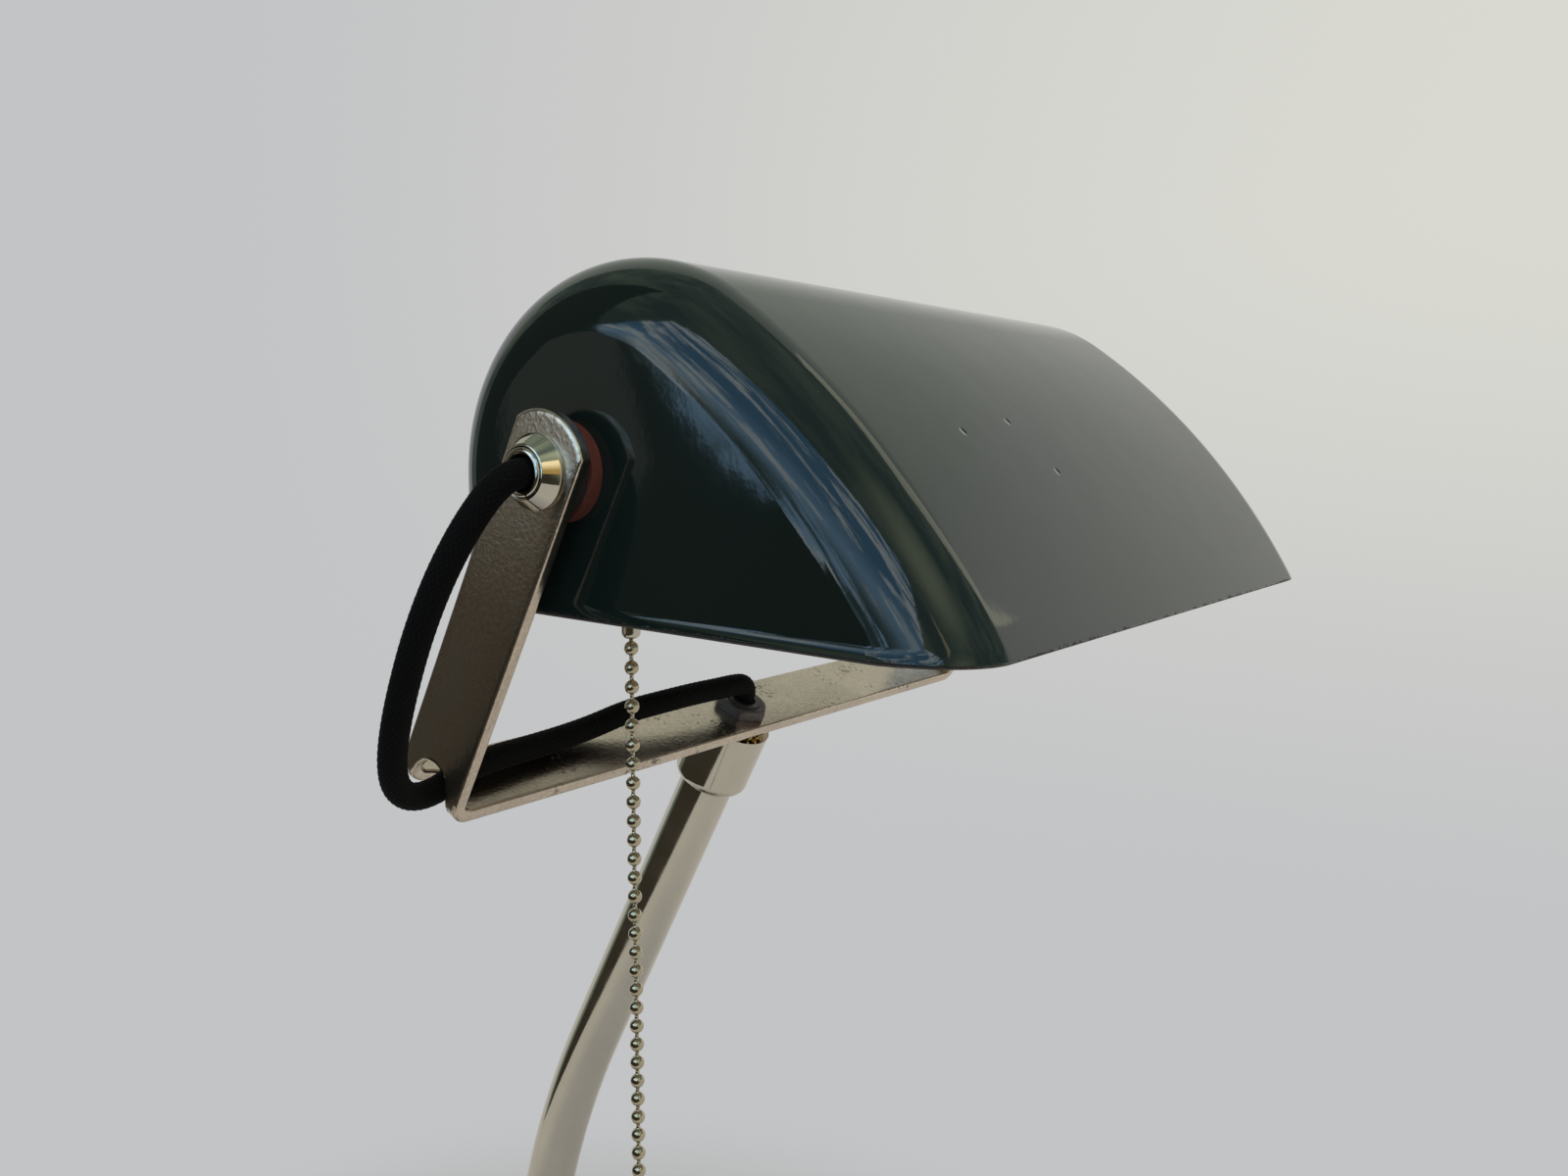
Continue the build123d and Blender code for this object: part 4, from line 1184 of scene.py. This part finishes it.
class LAMP_OT_stage(bpy.types.Operator):
    """Set the camera, the pale floor, the background, the soft lights and the cards that reflections show"""

    bl_idname = "lamp.stage"
    bl_label = "Stage"

    # The camera stands this far from the middle of the tilt axis and looks this way
    eye = Vector((-0.29588, -0.19251, 0.00468))
    forward = Vector((0.80646, 0.58162, -0.10647))
    right = Vector((0.58477, -0.81119, -0.00201))
    focal_pixels = 1336.15
    image_width = 1600
    sensor = 36.0
    # Nothing nearer than this to the camera is shown
    nearest = 10 * MM
    # The floor's radius, how far it lies under the felt, and its rings of points
    floor_radius = 400 * MM
    floor_drop = 0.4 * MM
    floor_rings, floor_sides = 5, 96
    # The background is warmest this way. The warmth grows as a direction turns to it, comes in between the
    # first two heights and goes again between the next two.
    warm_side = (0.96, -0.28, 0.0)
    warm_facing = (0.2, 1)
    warm_from, warm_to = (-0.35, 0.18), (0.62, 0.28)
    # The background's tone overhead comes in between these heights, and it lights the lamp with this share of
    # its strength
    overhead = (0.28, 0.5)
    light_share = 0.75
    # The soft lights' side, and how far they stand from the tilt axis
    light_size, light_distance = 1.6, 1.8
    # Corners of the cards, measured from the tilt axis: the upright ones' across and up, the level ones' seen
    # from above
    dark_card = [
        (-0.6, -1.6), (1.7, -1.6), (1.7, 1.2), (0.29, 1.2), (0.25, 0.10), (0.23, 0.05), (0.21, 0.03),
        (0.18, 0.0), (0.15, -0.02), (0.135, 0.01), (0.12, -0.015), (0.09, -0.035), (0.07, -0.012),
        (0.05, -0.035), (0.03, -0.05), (-0.6, -0.06),
    ]
    grey_card = [(0.22, 0.0), (0.235, 0.045), (0.25, 0.09), (0.32, 0.09), (0.32, -0.03), (0.24, -0.035)]
    blue_card = [
        (1.1, -0.3), (1.02, 0.40), (0.77, 0.72), (0.46, 1.06), (0.21, 1.44), (-0.03, 1.76), (-0.34, 2.08),
        (-0.77, 2.47), (-1.4, 2.8), (-2.0, 3.3), (-1.82, 2.38), (-1.44, 1.59), (-1.36, 1.36), (-1.09, 0.97),
        (-0.78, 0.60), (-0.61, 0.44), (-0.5, -0.3),
    ]
    green_top = [
        (-1.3, 3.0), (0.3, 3.0), (0.38, 1.15), (0.5, 0.7), (0.95, -0.27), (1.15, -0.57), (1.3, -1.0),
        (1.8, -1.3), (2.8, -1.6), (3.6, -1.9), (4.0, -2.8), (4.0, -5.0), (-1.3, -5.0),
    ]
    pale_strip = [
        (0.95, -0.27), (1.15, -0.57), (1.3, -1.0), (1.8, -1.3), (2.8, -1.6), (3.6, -1.9), (4.6, -1.8),
        (3.6, -1.4), (2.4, -1.05), (1.8, -0.75), (1.5, -0.4), (1.2, -0.1),
    ]
    pale_card = [
        (-0.37, -3.0), (3.0, -3.0), (3.0, 2.0), (0.0, 2.0), (-0.05, 0.52), (-0.2, 0.5), (-0.32, 0.42),
        (-0.375, 0.3), (-0.36, 0.1),
    ]

    def camera(self, scene):
        """A camera whose X axis points right in the picture and whose Z axis points back at it."""
        view = bpy.data.cameras.new("camera")
        view.sensor_width = self.sensor
        view.lens = self.sensor * self.focal_pixels / self.image_width
        view.clip_start = self.nearest
        holder = bpy.data.objects.new("camera", view)
        up = self.right.cross(self.forward)
        turn = Matrix((self.right, up, -self.forward)).transposed().to_4x4()
        holder.matrix_world = Matrix.Translation(PIVOT + self.eye) @ turn
        scene.collection.objects.link(holder)
        scene.camera = holder

    def lamp(self, scene, name, way, watts, tint):
        """A soft square light that looks back at the shade from a direction and doesn't show in
        reflections."""
        light = bpy.data.lights.new(name, "AREA")
        light.size = self.light_size
        light.energy = watts
        light.color = tint
        holder = bpy.data.objects.new(name, light)
        way = Vector(way).normalized()
        turn = way.to_track_quat("Z", "Y").to_matrix().to_4x4()
        holder.matrix_world = Matrix.Translation(PIVOT + way * self.light_distance) @ turn
        holder.visible_camera = False
        holder.visible_glossy = False
        scene.collection.objects.link(holder)

    def card(self, scene, name, corners, material):
        """A flat card, given by its corners measured from the tilt axis, that only reflections see."""
        mesh = bpy.data.meshes.new(name)
        mesh.from_pydata((np.array(PIVOT) + corners).tolist(), [], [range(len(corners))])
        mesh.materials.append(material)
        holder = bpy.data.objects.new(name, mesh)
        for ray in ("camera", "diffuse", "shadow", "transmission"):
            setattr(holder, f"visible_{ray}", False)
        scene.collection.objects.link(holder)

    def blue(self):
        """A card's finish: blue, paler and then patchily dark towards its foot, with flat white streaks."""
        finish = Finish("blue_card")
        height = finish.along("Z")
        rise = finish.level(height, PIVOT.z + 0.2, PIVOT.z + 0.75)
        blue = finish.mix(rise, (0.95, 1.6, 2.3), (0.27, 0.62, 1.1))
        streaks = finish.level(finish.noise(2.1, 6, 0.62, stretch=(1, 1.3, 2.4)), 0.48, 0.6)
        tone = finish.mix(streaks, blue, (2.2, 2.5, 2.6))
        dark = finish.level(finish.noise(3.4, 5, 0.6), 0.4, 0.5)
        foot = finish.times(finish.level(height, PIVOT.z + 0.4, PIVOT.z + 0.1), dark)
        return finish.glow(finish.mix(foot, tone, (0.16, 0.22, 0.22)))

    def gold(self):
        """A card's finish: golden in soft upright bands, brighter towards its top."""
        finish = Finish("gold_card")
        lit = finish.level(finish.along("Z"), PIVOT.z + 0.1, PIVOT.z + 1.2)
        bands = finish.noise(9, 3, 0.6, stretch=(1, 1, 0.1))
        low = finish.mix(bands, (0.40, 0.28, 0.09), (0.62, 0.45, 0.16))
        return finish.glow(finish.mix(lit, low, (1.45, 1.25, 0.78)))

    def green(self):
        """A card's finish: dark green with lighter patches, and brightest over the front of the lamp."""
        finish = Finish("green_card")
        patches = finish.level(finish.noise(1.6, 5, 0.6), 0.38, 0.66)
        bright = finish.level(finish.away(PIVOT + Vector((-0.3, -1.7, 1.6))), 1.0, 0.1)
        tone = finish.mix(patches, (0.13, 0.17, 0.15), (0.32, 0.38, 0.29))
        return finish.glow(finish.mix(bright, tone, (0.95, 1.05, 0.7)))

    def world(self, scene, colours):
        """Pale all round and warmer on one side, for the camera, for reflections and through glass, and a
        little dimmer as light on the lamp. Reflections see it slightly green overhead."""
        world = bpy.data.worlds.new("studio")
        scene.world = world
        world.use_nodes = True
        nodes = Nodes(world.node_tree)
        back = world.node_tree.nodes["Background"]
        way = nodes.node("TexCoord").outputs["Generated"]
        side = nodes.node("VectorMath", {0: way, 1: self.warm_side}, operation="DOT_PRODUCT").outputs["Value"]
        height = nodes.node("SeparateXYZ", {0: way}).outputs["Z"]
        band = [nodes.level(height, *limits) for limits in (self.warm_from, self.warm_to)]
        warm = nodes.times(nodes.level(side, *self.warm_facing), nodes.times(*band))
        path = nodes.node("LightPath").outputs
        high = nodes.times(nodes.level(height, *self.overhead), path["Is Glossy Ray"])
        cool = nodes.mix(high, colours.backdrop, colours.backdrop_high)
        nodes.feed(back.inputs["Color"], nodes.mix(warm, cool, colours.backdrop_warm))
        through = nodes.maths("MAXIMUM", path["Is Glossy Ray"], path["Is Transmission Ray"])
        seen = nodes.maths("MAXIMUM", path["Is Camera Ray"], through)
        nodes.feed(back.inputs["Strength"], nodes.level(seen, 0, 1, self.light_share, 1))

    def floor(self):
        """A round floor that holds the lamp's shadow."""
        rings = np.linspace(0, self.floor_radius, self.floor_rings)
        profile = np.column_stack([0 * rings, rings])
        patch = turned(profile, (0, 0, -self.floor_drop), (0, 0, 1), self.floor_sides, closed=False)
        add_piece("floor", patch, pale_floor, solid=False)

    def execute(self, context):
        """Camera, world, floor, soft lights and the cards that show in the enamel and the nickel: dark and
        grey close on the left, blue beyond them, green round the blue and overhead, gold towards the front,
        and pale overhead and below."""
        scene = context.scene
        scene.view_settings.view_transform = "Standard"
        colours = sizes(context).colours
        self.camera(scene)
        self.world(scene, colours)
        self.floor()
        self.lamp(scene, "key", way=(-0.3, -0.6, 0.75), watts=10, tint=(1.0, 0.99, 0.97))
        self.lamp(scene, "fill", way=(0.8, -0.3, 0.5), watts=5, tint=(1.0, 0.98, 0.95))
        green = self.green()
        # Each card's name, corners, and tone or finish
        cards = (
            ("dark_card", square_to("X", -0.38, self.dark_card), (0.0445, 0.039, 0.0285)),
            ("grey_card", square_to("X", -0.379, self.grey_card), (0.24, 0.23, 0.195)),
            ("blue_card", square_to("X", -1.2, self.blue_card), self.blue()),
            ("green_card", square_to("X", -1.3, oblong(-5, 3, -1.6, 4)), green),
            ("green_top", square_to("Z", 1.6, self.green_top), green),
            ("pale_strip", square_to("Z", 1.6, self.pale_strip), (1.3, 1.3, 1.02)),
            ("pale_card", square_to("Z", -0.3765, self.pale_card), (0.56, 0.55, 0.51)),
            ("green_end", square_to("Y", 1.6, oblong(-1.4, 0, -1.6, 1.6)), green),
            ("gold_card", square_to("X", -1.25, oblong(-3.2, -1.8, -0.4, 1.5)), self.gold()),
        )
        for name, corners, finish in cards:
            if isinstance(finish, tuple):
                finish = Finish(name).glow(finish)
            self.card(scene, name, corners, finish)
        return {"FINISHED"}


STEPS = ("cord", "finishes", "shade", "strap", "chain", "cone_nuts", "bracket_nut", "lock_washer", "stage")


class LAMP_PT_pieces(bpy.types.Panel):
    """Lists the lamp's pieces in the sidebar"""

    bl_idname = "LAMP_PT_pieces"
    bl_label = "Desk lamp"
    bl_space_type = "VIEW_3D"
    bl_region_type = "UI"
    bl_category = "Lamp"

    def draw(self, context):
        """One button for each step."""
        for step in STEPS:
            self.layout.operator(f"lamp.{step}")


CLASSES = (
    ShadeSizes,
    StrapSizes,
    CordSizes,
    ChainSizes,
    LampColours,
    LampSettings,
    LAMP_OT_cord,
    LAMP_OT_shade,
    LAMP_OT_strap,
    LAMP_OT_chain,
    LAMP_OT_cone_nuts,
    LAMP_OT_bracket_nut,
    LAMP_OT_lock_washer,
    LAMP_OT_finishes,
    LAMP_OT_stage,
    LAMP_PT_pieces,
)


def register():
    """Makes the settings, the steps and the panel known."""
    for item in CLASSES:
        bpy.utils.register_class(item)
    bpy.types.Scene.lamp_settings = PointerProperty(type=LampSettings)


def unregister():
    """Takes them away again."""
    del bpy.types.Scene.lamp_settings
    for item in reversed(CLASSES):
        bpy.utils.unregister_class(item)


def main():
    """Builds the lamp step by step."""
    register()
    for step in STEPS:
        getattr(bpy.ops.lamp, step)()


if __name__ == "__main__":
    main()
